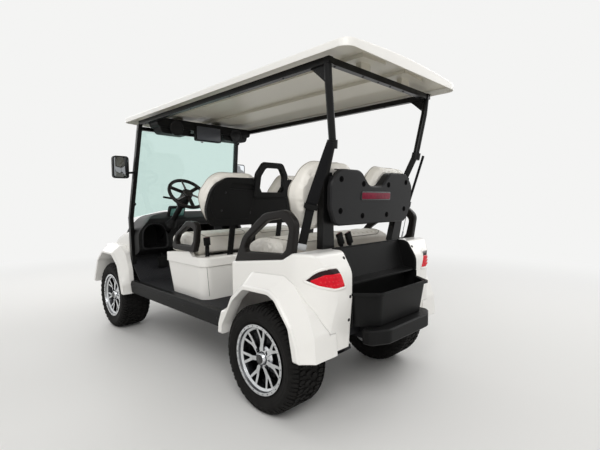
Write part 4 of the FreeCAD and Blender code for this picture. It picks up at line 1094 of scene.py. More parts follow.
@dataclass
class WheelTrim:
    """Lug nuts, centre cap ring and lip rivets of one wheel."""

    name: str
    body: Body
    side: int
    axle_y: float
    lugs: int = 4
    lug_circle: float = 50.8       # radius of the bolt circle
    lug_out: float = 20.0          # past the hub's face, as the cap is
    cap_out: float = 75.0
    rivets: int = 28
    rivet_circle: float = 182.5
    rivet_out: float = 117.5       # past the tyre's middle

    def placed(self, shape: Mesh, out: float) -> Mesh:
        """Stand a shape drawn along Z on the wheel's axle, some mm from the middle plane."""
        shape.transform(facing(here(self.side * out, self.axle_y, TYRE_R), Vector((self.side, 0, 0))))
        return shape

    def around(self, shape: Mesh, radius: float, count: int, start: float) -> Mesh:
        """Copies of a small shape in a circle about Z, the first at start degrees."""
        out = Matrix.Translation(SIDEWAYS * radius * MM)
        turns = [math.radians(start + 360 * i / count) for i in range(count)]
        return copied(shape, [Matrix.Rotation(turn, 4, "Z") @ out for turn in turns])

    def build(self) -> None:
        """Make the nuts and rivets, and the cap with its ring."""
        nut = spun([(-2, 0), (-2, 10.5), (12, 10.5), (15, 8), (19, 7.5), (22, 5), (23, 0)], 6)
        nuts = self.placed(self.around(nut, self.lug_circle, self.lugs, 45), HUB_FACE + self.lug_out)
        finished(nuts, f"lug_nuts_{self.name}", SILVER_METAL, self.body, "alloy")
        rivet = spun([(-1.5, 0), (-1.5, 3.6), (0.6, 3.6), (1.8, 2.4), (2.2, 0)], 8)
        rivets = self.placed(self.around(rivet, self.rivet_circle, self.rivets, 0),
                             TYRE_X + self.rivet_out)
        finished(rivets, f"rim_rivets_{self.name}", ZINC_BOLT, self.body, "alloy")
        cap = spun([(-3, 0), (-3, 25), (0.5, 25), (2.0, 23.5), (2.0, 21), (0.8, 19.5), (0.8, 8),
                    (1.6, 6), (1.8, 0)], 32)
        finished(self.placed(cap, HUB_FACE + self.cap_out), f"hub_cap_{self.name}", BLACK_GLOSS,
                 self.body, "black_plastic")


@dataclass
class SeatShells:
    """Fastenings, reflector and ribs of the moulded shells behind the seats."""

    rear_foot: Corner = (0, 284, 1000)     # where the rear cover leans from
    rear_tilt: float = -3.5
    rear_face_y: float = 310.0
    reflector: Corner = (-145, 1147, 145, 1197)
    bezel: tuple[float, float] = (6, 7)    # width of its frame, sideways and up
    humps: tuple[Corner, ...] = ((318, 1311), (150, 1311, 88), (60, 1227, 58), (-60, 1227, 58),
                                 (-150, 1311, 88), (-318, 1311), (0, 1100))
    humps_y: float = 286.0
    flange_foot: float = 1101.0
    flange_depth: float = 32.0
    flange_t: float = 5.0
    cover_bolts: tuple[Corner, ...] = ((322, 1256), (125, 1236), (318, 1090), (122, 1059))
    cover_bolt_r: float = 7.0
    shell_y: float = -520.0                # a plane behind the front shells
    shell_bolts: tuple[Corner, ...] = ((400, 1202), (423, 1080), (180, 1060))
    shell_bolt_r: float = 6.5
    rib: tuple[Corner, ...] = ((462, 1018, 50), (520, 1100, 100), (478, 1262, 130), (330, 1330, 90),
                               (180, 1330, 60), (150, 1190, 40), (196, 1018, 30))
    rib_r: float = 2.6

    def rear_lean(self, shape: Mesh) -> Mesh:
        """Lean a shape drawn upright as the rear cover leans."""
        shape.transform(about(here(*self.rear_foot), self.rear_tilt, "X"))
        return shape

    def reflector_strip(self) -> None:
        """Red prismatic strip in a black frame."""
        x0, z0, x1, z1 = self.reflector
        side, rise = self.bezel
        y = self.rear_face_y
        edge = [(x0, z0, 9), (x1, z0, 9), (x1, z1, 9), (x0, z1, 9)]
        bezel = self.rear_lean(block(edge, Plane.XZ, y - 3, y + 4, 1.5))
        finished(bezel, "reflector_frame", BLACK_GLOSS, Body.CHASSIS, "black_plastic")
        x0, z0, x1, z1 = x0 + side, z0 + rise, x1 - side, z1 - rise
        edge = [(x0, z0, 5), (x1, z0, 5), (x1, z1, 5), (x0, z1, 5)]
        lens = self.rear_lean(block(edge, Plane.XZ, y + 1, y + 6, 1.2))
        finished(lens, "reflector_lens", REFLECTOR_RED, Body.CHASSIS, "lamp_red")

    def rear_flange(self) -> Mesh:
        """Wall that the rear cover turns forward along its humps."""
        shape = face_of(list(self.humps), Plane.XZ, self.humps_y)
        low = here(0, 0, self.flange_foot).z
        bmesh.ops.delete(shape, geom=shape.faces[:], context="FACES_ONLY")
        bmesh.ops.delete(shape, geom=[v for v in shape.verts if v.co.z < low], context="VERTS")
        moved = added(bmesh.ops.extrude_edge_only(shape, edges=shape.edges[:]), bmesh.types.BMVert)
        bmesh.ops.translate(shape, verts=moved, vec=FORWARD * self.flange_depth * MM)
        bmesh.ops.recalc_face_normals(shape, faces=shape.faces)
        bmesh.ops.solidify(shape, geom=shape.faces[:], thickness=self.flange_t * MM)
        return self.rear_lean(shape)

    def build(self) -> None:
        """Make the details of both shells."""
        skin = Skin("rear_back_panel")
        places = [here(s * x, BEHIND_Y, z) for x, z in self.cover_bolts for s in (1, -1)]
        # The bolts and cups are painted near black as the shade of deep sockets
        finished(bolts(skin, places, FORWARD, self.cover_bolt_r), "rear_cover_bolts", SOCKET_SHADE,
                 Body.CHASSIS, "panel_plastic")
        dish = spun([(-1, 0), (-1, 16), (1.2, 16), (1.6, 15), (1.2, 14), (0.8, 12), (0.8, 0)], 20)
        cups = copied(dish, [facing(*skin.hit(place, FORWARD)) for place in places])
        finished(cups, "rear_cover_cups", SOCKET_SHADE, Body.CHASSIS, "panel_plastic")
        finished(self.rear_flange(), "rear_cover_flange", CHARCOAL_ABS, Body.CHASSIS, "panel_plastic")
        self.reflector_strip()
        front = Skin("front_back_panel")
        places = [here(s * x, self.shell_y, z) for x, z in self.shell_bolts for s in (1, -1)]
        finished(bolts(front, places, FORWARD, self.shell_bolt_r), "front_shell_bolts", ZINC_BOLT,
                 Body.CHASSIS, "panel_plastic")
        ring = front.laid(outline(self.rib, Plane.XZ, self.shell_y, 12), FORWARD, -0.6)
        finished(mirrored(tube([ring], self.rib_r, True)), "front_shell_ribs", BLACK_ABS, Body.CHASSIS,
                 "panel_plastic")


@dataclass
class Belts:
    """Shoulder belts in their sleeves, anchors and buckles."""

    knee: Corner = (462, 372, 1428)
    collar: Corner = (482, 256, 1114)
    anchor: Corner = (494, 206, 918)
    sleeve_widths: tuple[float, ...] = (40, 46, 50, 54, 58, 62, 64)
    sleeve_t: float = 13.0
    strap_w: float = 47.0
    strap_t: float = 2.6
    head_half: tuple[float, float] = (22, 10)      # a buckle's half width and half depth
    button_half: tuple[float, float] = (13, 6)
    stem_widths: tuple[float, ...] = (34, 30, 30)
    stem_t: float = 3.0
    rear_buckles: tuple[float, ...] = (91, 8)
    rear_lean: float = 22.0
    front_buckle: float = 500.0
    front_lean: float = 4.0

    def ribbon(self, route: list[Vector], widths: Iterable[float], across: Vector,
               thick: float) -> Mesh:
        """Flat band along a route, a little crowned.

        Args:
            route: points of its middle line, in metres.
            widths: its width at each point, in mm.
            across: direction of its width.
            thick: its thickness in mm.

        Returns:
            A closed bmesh.
        """
        shape = bmesh.new()
        along = (route[-1] - route[0]).normalized()
        bulge = across.cross(along).normalized() * thick * 0.35 * MM
        row = [shape.verts.new(Vector((0, 0, 0))) for _ in range(5)]
        edges = [shape.edges.new(pair) for pair in zip(row, row[1:])]
        for i, (middle, width) in enumerate(zip(route, widths)):
            if i:
                made = bmesh.ops.extrude_edge_only(shape, edges=edges)
                row = added(made, bmesh.types.BMVert)
                edges = [edge for edge in added(made, bmesh.types.BMEdge)
                         if all(vert in row for vert in edge.verts)]
                row.sort(key=lambda vert: (vert.co - route[i - 1]).dot(across))
            for k, vert in enumerate(row):
                share = k / 4 - 0.5
                vert.co = middle + across * share * width * MM + bulge * (1 - 4 * share ** 2)
        bmesh.ops.recalc_face_normals(shape, faces=shape.faces)
        bmesh.ops.solidify(shape, geom=shape.faces[:], thickness=thick * MM)
        bmesh.ops.recalc_face_normals(shape, faces=shape.faces)
        return shape

    def buckle(self, x: float, y: float, low: float, high: float, foot: float,
               lean: float) -> tuple[Mesh, Mesh, Mesh]:
        """Buckle on a short stem.

        Args:
            x: its place across the cart.
            y: its place along the cart.
            low: height of its head's lower end.
            high: height of its head's top.
            foot: height where its stem starts.
            lean: degrees that the head leans sideways.

        Returns:
            The head, its button and the stem.
        """
        half_x, half_y = self.head_half
        head = cuboid((x - half_x, x + half_x), (y - half_y, y + half_y), (low, high), 4)
        half_x, half_y = self.button_half
        button = cuboid((x - half_x, x + half_x), (y - half_y, y + half_y), (high - 8, high + 1.5), 2)
        turn = about(here(x, y, low), lean, "Y")
        head.transform(turn)
        button.transform(turn)
        stem = self.ribbon([here(x, y, z) for z in (foot, (foot + low) / 2, low + 8)],
                           self.stem_widths, SIDEWAYS, self.stem_t)
        return head, button, stem

    def build(self) -> None:
        """Make both shoulder belts and the four buckles."""
        top, collar, anchor = (here(*p) for p in (self.knee, self.collar, self.anchor))
        across = (collar - top).normalized().cross(Vector((0.45, 0.9, 0)).normalized()).normalized()
        last = len(self.sleeve_widths) - 1
        steps = [top.lerp(collar, i / last) for i in range(last + 1)]
        sleeve = self.ribbon(steps, self.sleeve_widths, across, self.sleeve_t)
        rounded(sleeve, [e for e in sleeve.edges if e.calc_face_angle(0) > 0.9], 3 * MM, 2)
        piece = finished(mirrored(sleeve), "belt_sleeves", SLEEVE_CLOTH, Body.CHASSIS, "webbing")
        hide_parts("seat_belts")
        line = [collar.lerp(anchor, i / 5) for i in range(6)]
        strap = self.ribbon(line, [self.strap_w] * 6, across, self.strap_t)
        finished(mirrored(strap), "belt_straps", BELT_WEBBING, Body.CHASSIS, "webbing")
        down = (anchor - collar).normalized()
        turn = Matrix((across, down.cross(across), down)).transposed().to_4x4()
        guide = block([(-35, -13, 6), (35, -13, 6), (35, 13, 6), (-35, 13, 6)], Plane.XY, -13, 13, 3)
        guide.transform(Matrix.Translation(collar) @ turn @ FROM_AXLE)
        finished(mirrored(guide), "belt_collars", BLACK_ABS, Body.CHASSIS, "black_plastic")
        plate = block([(-25, -5, 2), (25, -5, 2), (25, 5, 2), (-25, 5, 2)], Plane.XY, -28, 6, 1.5)
        plate.transform(Matrix.Translation(anchor) @ turn @ Matrix.Scale(-1, 4, UP) @ FROM_AXLE)
        bmesh.ops.recalc_face_normals(plate, faces=plate.faces)
        finished(mirrored(plate), "belt_anchors", SILVER_METAL, Body.CHASSIS, "black_steel")
        rear = [self.buckle(x, 140, 880, 956, 850, self.rear_lean) for x in self.rear_buckles]
        front = [self.buckle(self.front_buckle, -690, 846, 902, 770, self.front_lean)]
        for name, sets in (("rear", rear), ("front", front)):
            for end, k, finish, slot in (("buckles", 0, BLACK_ABS, "black_plastic"),
                                         ("buckle_buttons", 1, BUTTON_RED, "black_plastic"),
                                         ("buckle_stems", 2, BELT_WEBBING, "webbing")):
                shape = joined([made[k] for made in sets])
                if name == "front":
                    shape = mirrored(shape)
                finished(shape, f"{name}_{end}", finish, Body.CHASSIS, slot)


@dataclass
class Lamps:
    """Lenses, rims and optics of the lamps."""

    tail: tuple[Corner, ...] = ((583, 756, 8), (548, 806, 60), (500, 818, 40), (428, 815, 16),
                                (378, 709, 10), (462, 706, 60), (540, 728, 60))
    tail_lit: tuple[Corner, ...] = ((570, 757, 8), (514, 785, 40), (421, 787, 10), (389, 716, 8),
                                    (462, 713, 50), (536, 733, 50))
    head: tuple[Corner, ...] = ((262, 596, 20), (416, 574, 30), (432, 659, 22), (296, 687, 30))
    below_z: float = 690.0         # the body is whole under the tail lamp
    beside_x: float = 366.0        # and on its inner side
    grid: tuple[int, int] = (44, 26)       # steps across a lens and up it
    edge_mm: float = 8.0           # width of a lens's rounded edge
    wall_mm: float = 4.0           # depth of its wall
    weld_mm: float = 0.6
    lip_r: float = 9.5             # white lip round a tail lamp
    lip_sunk: float = 5.0
    optic_rows: tuple[tuple[int, int, int], ...] = ((770, 432, 505), (750, 420, 535), (730, 412, 505))
    optic_gap: int = 18
    projectors: tuple[Corner, ...] = ((318, 634), (378, 624))
    skin: Skin = field(default_factory=lambda: Skin("rear_body"))

    def over_body(self, point: Vector, lift: float) -> tuple[Vector, Vector]:
        """Place above the body's skin behind a point, as if the lamp's opening were closed.

        Args:
            point: a place behind the lamp, in metres.
            lift: mm over the skin.

        Returns:
            The place and the skin's normal there.
        """
        below, turned = self.skin.hit(Vector((point.x, point.y, self.below_z * MM)), FORWARD)
        beside, leaning = self.skin.hit(Vector((self.beside_x * MM, point.y, point.z)), FORWARD)
        normal = turned if below.y < beside.y else leaning
        return Vector((point.x, min(below.y, beside.y), point.z)) + normal * lift * MM, normal

    def plate(self, corners: tuple[Corner, ...], lift: float, height: float) -> Mesh:
        """Lens that follows the body's curve, with a quarter-round edge.

        Args:
            corners: its convex outline, seen from behind.
            lift: mm from the body's skin to its edge.
            height: mm that its face stands over its edge.

        Returns:
            A closed bmesh.
        """
        ring = outline(corners, Plane.XZ, BEHIND_Y)
        low = Vector([min(p[k] for p in ring) for k in range(3)])
        high = Vector([max(p[k] for p in ring) for k in range(3)])
        middle = (low + high) / 2
        shape = bmesh.new()
        bmesh.ops.create_grid(shape, x_segments=self.grid[0], y_segments=self.grid[1], size=0.5)
        shape.transform(Matrix.Translation(middle) @ Matrix.Rotation(math.pi / 2, 4, "X")
                        @ Matrix.Diagonal((high.x - low.x, high.z - low.z, 1, 1)))
        sides = []
        for start, end in zip(ring, ring[1:] + ring[:1]):
            out = (end - start).cross(REARWARD).normalized()
            if out.dot(start - middle) < 0:
                out = -out
            sides.append((start, out))
            bmesh.ops.bisect_plane(shape, geom=everything(shape), dist=WELD, plane_co=start,
                                   plane_no=out, clear_outer=True)
        bmesh.ops.remove_doubles(shape, verts=shape.verts, dist=self.weld_mm * MM)
        for vert in shape.verts:
            inside = min((start - vert.co).dot(out) for start, out in sides)
            share = 1 - max(0.0, min(1.0, inside / (self.edge_mm * MM)))
            vert.co, _ = self.over_body(vert.co, lift + height * math.sqrt(1 - share ** 2))
        rim = [edge for edge in shape.edges if edge.is_boundary]
        sunk = added(bmesh.ops.extrude_edge_only(shape, edges=rim), bmesh.types.BMVert)
        bmesh.ops.translate(shape, verts=sunk, vec=FORWARD * self.wall_mm * MM)
        bmesh.ops.holes_fill(shape, edges=[e for e in shape.edges if e.is_boundary], sides=0)
        bmesh.ops.recalc_face_normals(shape, faces=shape.faces)
        return shape

    def build(self) -> None:
        """Make the lenses, rims and optics on both sides."""
        route = outline(self.tail, Plane.XZ, BEHIND_Y, 7)
        ring = [self.over_body(point, -self.lip_sunk)[0] for point in route]
        finished(mirrored(tube([ring], self.lip_r, True, 4)), "tail_lamp_rims", BODY_WHITE, Body.CHASSIS,
                 "body_white")
        # The dark cover is painted shade of the lamp's recess, showing round the lit lens
        finished(mirrored(self.plate(self.tail, -1.0, 2.0)), "tail_lamp_covers", RECESS_SHADE_LENS,
                 Body.CHASSIS, "lamp_red")
        finished(mirrored(self.plate(self.tail_lit, 0.5, 3.0)), "tail_lamp_lenses", RED_LENS,
                 Body.CHASSIS, "lamp_red")
        cell = spun([(-1, 0), (-1, 5.5), (0.6, 5.5), (1.8, 4.2), (2.4, 2.2), (2.6, 0)], 12)
        spots = [here(x, BEHIND_Y, z) for z, low, high in self.optic_rows
                 for x in range(low, high, self.optic_gap)]
        optics = copied(cell, [facing(*self.over_body(spot, 3.5)) for spot in spots])
        finished(mirrored(optics), "tail_lamp_optics", RED_OPTIC, Body.CHASSIS, "lamp_red")
        route = outline(self.head, Plane.XZ, BEFORE_Y, 7)
        rim = Skin("front_cowl", "headlamps").laid(route, REARWARD, 0.5)
        finished(mirrored(tube([rim], 5, True, 2)), "headlamp_rims", BLACK_GLOSS, Body.CHASSIS,
                 "black_plastic")
        dome = spun([(-2, 0), (-2, 27), (1, 27), (2.5, 24), (1.5, 22), (3, 16), (4, 8), (4.3, 0)], 28)
        skin = Skin("headlamps")
        places = [facing(*skin.hit(here(x, BEFORE_Y, z), REARWARD)) for x, z in self.projectors]
        finished(mirrored(copied(dome, places)), "headlamp_projectors", CHROME, Body.CHASSIS, "lamp_clear")


@dataclass
class LoadBay:
    """Rubber edging, lining plates and fastenings round the bag well and basket."""

    side_x: float = 323.0
    side: tuple[Corner, ...] = ((264, 887), (318, 885), (342, 874), (356, 850), (388, 800), (398, 775),
                                (399, 712))
    edging_r: float = 5.5
    lip: tuple[Corner, ...] = ((0.33, 370), (0.33, 400), (0.27, 470))
    lip_end_x: float = 0.22
    bead_r: float = 3.0
    bead_cut: int = 6              # points that the bead lacks at each end
    bolt_x: float = 345.0
    bolt_heights: tuple[float, ...] = (850, 655, 532)
    bolt_r: float = 6.5

    def edging(self) -> Mesh:
        """Rubber edging down both sides of the well and across its front."""
        line = spaced([here(self.side_x, y, z) for y, z in self.side], 6 * MM, False)
        for _ in range(3):
            inner = [(line[i - 1] + line[i] * 2 + line[i + 1]) / 4 for i in range(1, len(line) - 1)]
            line = [line[0]] + inner + [line[-1]]
        sides = mirrored(tube([line], self.edging_r, False, 2))
        across = tube([[here(x, 265, 887) for x in range(-322, 323, 23)]], self.edging_r, False, 2)
        return joined((sides, across))

    def bead(self) -> Mesh:
        """Bead that runs round the basket's rim."""
        _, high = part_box("basket")
        lip = list(self.lip) + [(self.lip_end_x, high.y / MM - AXLE_SHIFT - 6)]
        rim = [Vector((x, (y + AXLE_SHIFT) * MM, high.z + 1.5 * MM)) for x, y in lip]
        rim += [Vector((-p.x, p.y, p.z)) for p in reversed(rim)]
        route = Skin("basket").laid(spaced(rim, 8 * MM, False), DOWN, 0.5)
        return tube([route[self.bead_cut:-self.bead_cut]], self.bead_r, False, 2)

    def build(self) -> None:
        """Make the edging, the rim's bead, the lining and the body's edge bolts."""
        finished(self.edging(), "bag_well_edging", RUBBER_TRIM, Body.CHASSIS, "black_plastic")
        finished(self.bead(), "basket_rim_bead", RUBBER_TRIM, Body.CHASSIS, "black_plastic")
        wall = block([(318, 490), (404, 490), (404, 706), (318, 706)], Plane.YZ, 324.5, 328)
        end = block([(-323, 490), (323, 490), (323, 704), (-323, 704)], Plane.XZ, 318, 322)
        finished(joined((mirrored(wall), end)), "bag_well_liner", BLACK_ABS, Body.CHASSIS,
                 "black_plastic")
        places = [here(self.bolt_x, BEHIND_Y, z) for z in self.bolt_heights]
        heads = bolts(Skin("rear_body"), places, FORWARD, self.bolt_r)
        finished(mirrored(heads), "body_edge_bolts", ZINC_BOLT, Body.CHASSIS, "black_steel")


@dataclass
class Cabin:
    """Dash trim, display, column boot, pedal pads and steering wheel cover."""

    hub: Corner = (270, -1353, 1206)
    column_angle: float = 42.0
    column_out: float = 400.0      # from the boot's foot to the hub
    dash_y: float = -1500.0        # a plane behind the dash
    pocket_x: float = 395.0
    shelf: tuple[Corner, ...] = ((-207, 793, 34), (177, 793, 34), (177, 927, 34), (-207, 927, 34))
    display: tuple[float, float] = (145, 1015)
    display_tilt: float = -22.0
    boot_ribs: int = 7
    boot_pitch: float = 12.0
    spokes: tuple[float, ...] = (90, 210, 330)     # degrees round the steering wheel
    studs: tuple[float, ...] = (0.022, 0.034, 0.046)       # from the pedals' outer ends, in metres

    def axis(self) -> Vector:
        """Direction of the column, up to the driver."""
        angle = math.radians(self.column_angle)
        return Vector((0, math.cos(angle), math.sin(angle)))

    def dash(self) -> None:
        """Beads round the cubbies and the shelf, and the display."""
        skin = Skin("dashboard")
        x = self.pocket_x
        cubby = [(x - 113, 734, 34), (x + 113, 734, 34), (x + 106, 948, 94), (x - 106, 948, 94)]
        route = skin.laid(outline(cubby, Plane.XZ, self.dash_y, 9), FORWARD, 1.0)
        finished(mirrored(tube([route], 6.0, True, 2)), "cubby_rims", CHARCOAL_ABS, Body.CHASSIS,
                 "black_plastic")
        route = skin.laid(outline(self.shelf, Plane.XZ, self.dash_y, 9), FORWARD, 1.0)
        finished(tube([route], 5.0, True, 2), "shelf_rim", CHARCOAL_ABS, Body.CHASSIS, "black_plastic")
        x, z = self.display
        place, _ = skin.hit(here(x, self.dash_y, z), FORWARD)
        tilt = Matrix.Translation(place) @ Matrix.Rotation(math.radians(self.display_tilt), 4, "X")
        case = block([(-76, -56, 14), (76, -56, 14), (76, 82, 18), (-76, 82, 18)], Plane.XZ, -30, 12, 4)
        case.transform(tilt @ FROM_AXLE)
        finished(case, "display_housing", BLACK_ABS, Body.CHASSIS, "black_plastic")
        glass = block([(-66, -44, 6), (66, -44, 6), (66, 70, 6), (-66, 70, 6)], Plane.XZ, 8, 13.5, 1)
        glass.transform(tilt @ FROM_AXLE)
        finished(glass, "display_glass", DISPLAY_TEAL, Body.CHASSIS, "glass")

    def boot(self) -> Mesh:
        """Ribbed rubber boot where the column enters the dash."""
        pitch = self.boot_pitch
        steps = []
        for i in range(self.boot_ribs):
            steps += [(i * pitch, 46 - i * 2.6), (i * pitch + pitch / 2, 39 - i * 2.4)]
        end = self.boot_ribs * pitch
        shape = spun([(-4, 25), (-4, 48)] + steps + [(end, 25)], 28, closed=True)
        foot = here(*self.hub) - self.axis() * self.column_out * MM
        shape.transform(facing(foot, self.axis()))
        return shape

    def wheel(self) -> None:
        """Horn pad and spoke covers of the steering wheel."""
        hub, axis = here(*self.hub), self.axis()
        pad = spun([(-4, 0), (-4, 40), (10, 40), (15, 36), (16.5, 30), (15.5, 27), (17, 18), (18, 0)], 36)
        pad.transform(facing(hub, axis))
        finished(pad, "horn_pad", BLACK_GLOSS, Body.STEERING, "black_plastic")
        covers = []
        for turn in self.spokes:
            cover = block([(40, -11, 4), (142, -7, 4), (142, 7, 4), (40, 11, 4)], Plane.XY, 3, 7.5, 1.5)
            cover.transform(facing(hub, axis, turn) @ FROM_AXLE)
            covers.append(cover)
        finished(joined(covers), "spoke_covers", SILVER_SATIN, Body.STEERING, "black_plastic")

    def pedal_studs(self) -> Mesh:
        """Row of rubber studs across each pedal's pad."""
        low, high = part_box("pedals")
        skin = Skin("pedals")
        row = [low.x + x for x in self.studs] + [high.x - x for x in reversed(self.studs)]
        starts = [Vector((x, high.y + 0.1, (low.z + high.z) / 2)) for x in row]
        stud = spun([(-1, 0), (-1, 4), (1.5, 4), (3, 2.4), (3.4, 0)], 10)
        out = Vector((0, 1, 0.3)).normalized()
        return copied(stud, [facing(skin.hit(start, FORWARD)[0], out) for start in starts])

    def build(self) -> None:
        """Make the cabin's details."""
        self.dash()
        finished(self.boot(), "column_boot", RUBBER_TRIM, Body.CHASSIS, "black_plastic")
        self.wheel()
        finished(self.pedal_studs(), "pedal_studs", RUBBER_TRIM, Body.CHASSIS, "black_plastic")


@dataclass
class Canopy:
    """Console screen, speakers, mirrors and the fastenings under the canopy."""

    screen_y: float = -1437.0
    sensor: Corner = (60, -1453, 1667)
    speaker: Corner = (299.7, -1300, 1752)
    mirror_y: float = -1829.0
    pane_t: float = 2.5            # thickness of the screen's and the mirrors' panes
    rail_x: float = 482.0
    rail_spots: tuple[float, ...] = (-1500, -1330, -900, -430, 60, 330)
    bar_y: float = 370.0
    bar_spots: tuple[float, ...] = (430, 200, 60)
    under_z: float = 1700.0        # a height below the rails
    gusset_spots: tuple[Corner, ...] = ((520, 330, 1752), (520, 300, 1776), (520, 356, 1716))
    strut_spots: tuple[Corner, ...] = ((460, 342, 1420), (440, 272, 1270))
    pillar_x: float = 520.0
    clip_heights: tuple[float, ...] = (1120, 1400, 1690)
    bolt_r: float = 5.5
    gusset_bolt_r: float = 5.0

    def console(self) -> None:
        """Screen, sensor and speakers of the overhead console."""
        glass = block([(-119, 1676, 8), (119, 1676, 8), (119, 1791, 8), (-119, 1791, 8)], Plane.XZ,
                      self.screen_y, self.screen_y + self.pane_t, 1)
        finished(glass, "overhead_screen", SCREEN_GLASS, Body.CHASSIS, "glass")
        eye = spun([(-2, 0), (-2, 13), (5, 13), (11, 9), (14, 4), (15, 0)], 18)
        eye.transform(facing(here(*self.sensor), DOWN))
        finished(eye, "console_sensor", SILVER_SATIN, Body.CHASSIS, "black_plastic")
        grille = spun([(-2, 0), (-2, 62), (3, 62), (5, 58), (3, 54), (4, 40), (6, 20), (6.5, 0)], 48)
        skin = Skin("overhead_console")
        x, y, z = self.speaker
        places = [facing(*skin.hit(here(s * x, y, z), FORWARD)) for s in (1, -1)]
        finished(copied(grille, places), "speaker_grilles", GRILLE_STEEL, Body.CHASSIS, "black_plastic")

    def build(self) -> None:
        """Make the canopy's details."""
        self.console()
        mirror = block([(561, 1351, 15), (675, 1351, 18), (675, 1521, 18), (561, 1521, 15)], Plane.XZ,
                       self.mirror_y, self.mirror_y + self.pane_t, 1)
        finished(mirrored(mirror), "mirror_glass", MIRROR_GLASS, Body.CHASSIS, "glass")
        spots = [here(self.rail_x, y, self.under_z) for y in self.rail_spots]
        spots += [here(x, self.bar_y, self.under_z) for x in self.bar_spots]
        heads = bolts(Skin("roof_frame"), spots, UP, self.bolt_r)
        struts = Skin("rear_struts")
        sides = bolts(struts, [here(*spot) for spot in self.gusset_spots], INWARD, self.gusset_bolt_r)
        knee = bolts(struts, [here(*spot) for spot in self.strut_spots], INWARD, self.bolt_r)
        finished(mirrored(joined((heads, sides, knee))), "canopy_bolts", ZINC_BOLT, Body.CHASSIS,
                 "black_steel")
        skin = Skin("screen_frame")
        clip = spun([(-3, 0), (-3, 13), (3, 13), (6, 10), (6.5, 4), (5, 0)], 14)
        spots = [skin.hit(here(self.pillar_x, -1500, z), FORWARD) for z in self.clip_heights]
        finished(mirrored(copied(clip, [facing(*spot) for spot in spots])), "screen_clips", RUBBER_TRIM,
                 Body.CHASSIS, "black_plastic")


@dataclass
class RunningGear:
    """Coils of the front dampers and U-bolts of the rear axle."""

    coil_x: float = 250.0
    coil_foot: float = 330.0
    coil_height: float = 250.0
    coil_r: float = 30.0
    wire_r: float = 4.0
    turns: int = 9
    turn_steps: int = 20
    clamps_x: tuple[float, ...] = (300, 330)
    clamp_r: float = 40.0          # radius of a clamp's bow over the axle
    clamp_foot: float = 216.0
    rod_r: float = 5.0

    def coil(self) -> list[Vector]:
        """Middle line of the left damper's coil."""
        line = []
        steps = self.turns * self.turn_steps
        for i in range(steps + 1):
            share = i / steps
            angle = 2 * math.pi * self.turns * share
            line.append(here(self.coil_x + self.coil_r * math.cos(angle),
                             -WHEELBASE + self.coil_r * math.sin(angle),
                             self.coil_foot + self.coil_height * share))
        return line

    def clamp(self, x: float) -> list[Vector]:
        """Middle line of a U-bolt over the rear axle."""
        reach = self.clamp_r
        turns = [math.radians(degrees) for degrees in range(0, 181, 15)]
        bow = [here(x, reach * math.cos(turn), TYRE_R + reach * math.sin(turn)) for turn in turns]
        return [here(x, reach, self.clamp_foot)] + bow + [here(x, -reach, self.clamp_foot)]

    def build(self) -> None:
        """Make the coils and clamps on both sides."""
        finished(mirrored(tube([self.coil()], self.wire_r, False, 1)), "front_coils", POWDER_COAT,
                 Body.CHASSIS, "frame_steel")
        clamps = [self.clamp(x) for x in self.clamps_x]
        finished(mirrored(tube(clamps, self.rod_r, False, 1)), "axle_clamps", ZINC_BOLT, Body.CHASSIS,
                 "frame_steel")


@dataclass
class BodyTrim:
    """Panel gaps and fastenings of the white body and the rockers."""

    beside_x: float = 700.0        # a plane past the cart's left side
    gap_r: float = 1.5
    gap_sunk: float = 0.7
    rocker_z: float = 425.0
    rocker_spots: range = range(-1690, -400, 210)
    bolt_r: float = 5.5

    def build(self) -> None:
        """Make the seams and bolts on both sides."""
        pod = Skin("seat_pod")
        upright = [here(self.beside_x, -672 - i * 0.7, 700 - i * 7.0) for i in range(30)]
        level = [here(self.beside_x, -1170 + i * 13, 704) for i in range(39)]
        seams = [pod.laid(route, INWARD, -self.gap_sunk) for route in (upright, level)]
        finished(mirrored(tube(seams, self.gap_r, False)), "pod_seams", SHADOW_GAP, Body.CHASSIS,
                 "body_white")
        spots = [here(self.beside_x, y, self.rocker_z) for y in self.rocker_spots]
        heads = bolts(Skin("rocker_panels"), spots, INWARD, self.bolt_r)
        finished(mirrored(heads), "rocker_bolts", ZINC_BOLT, Body.CHASSIS, "black_plastic")


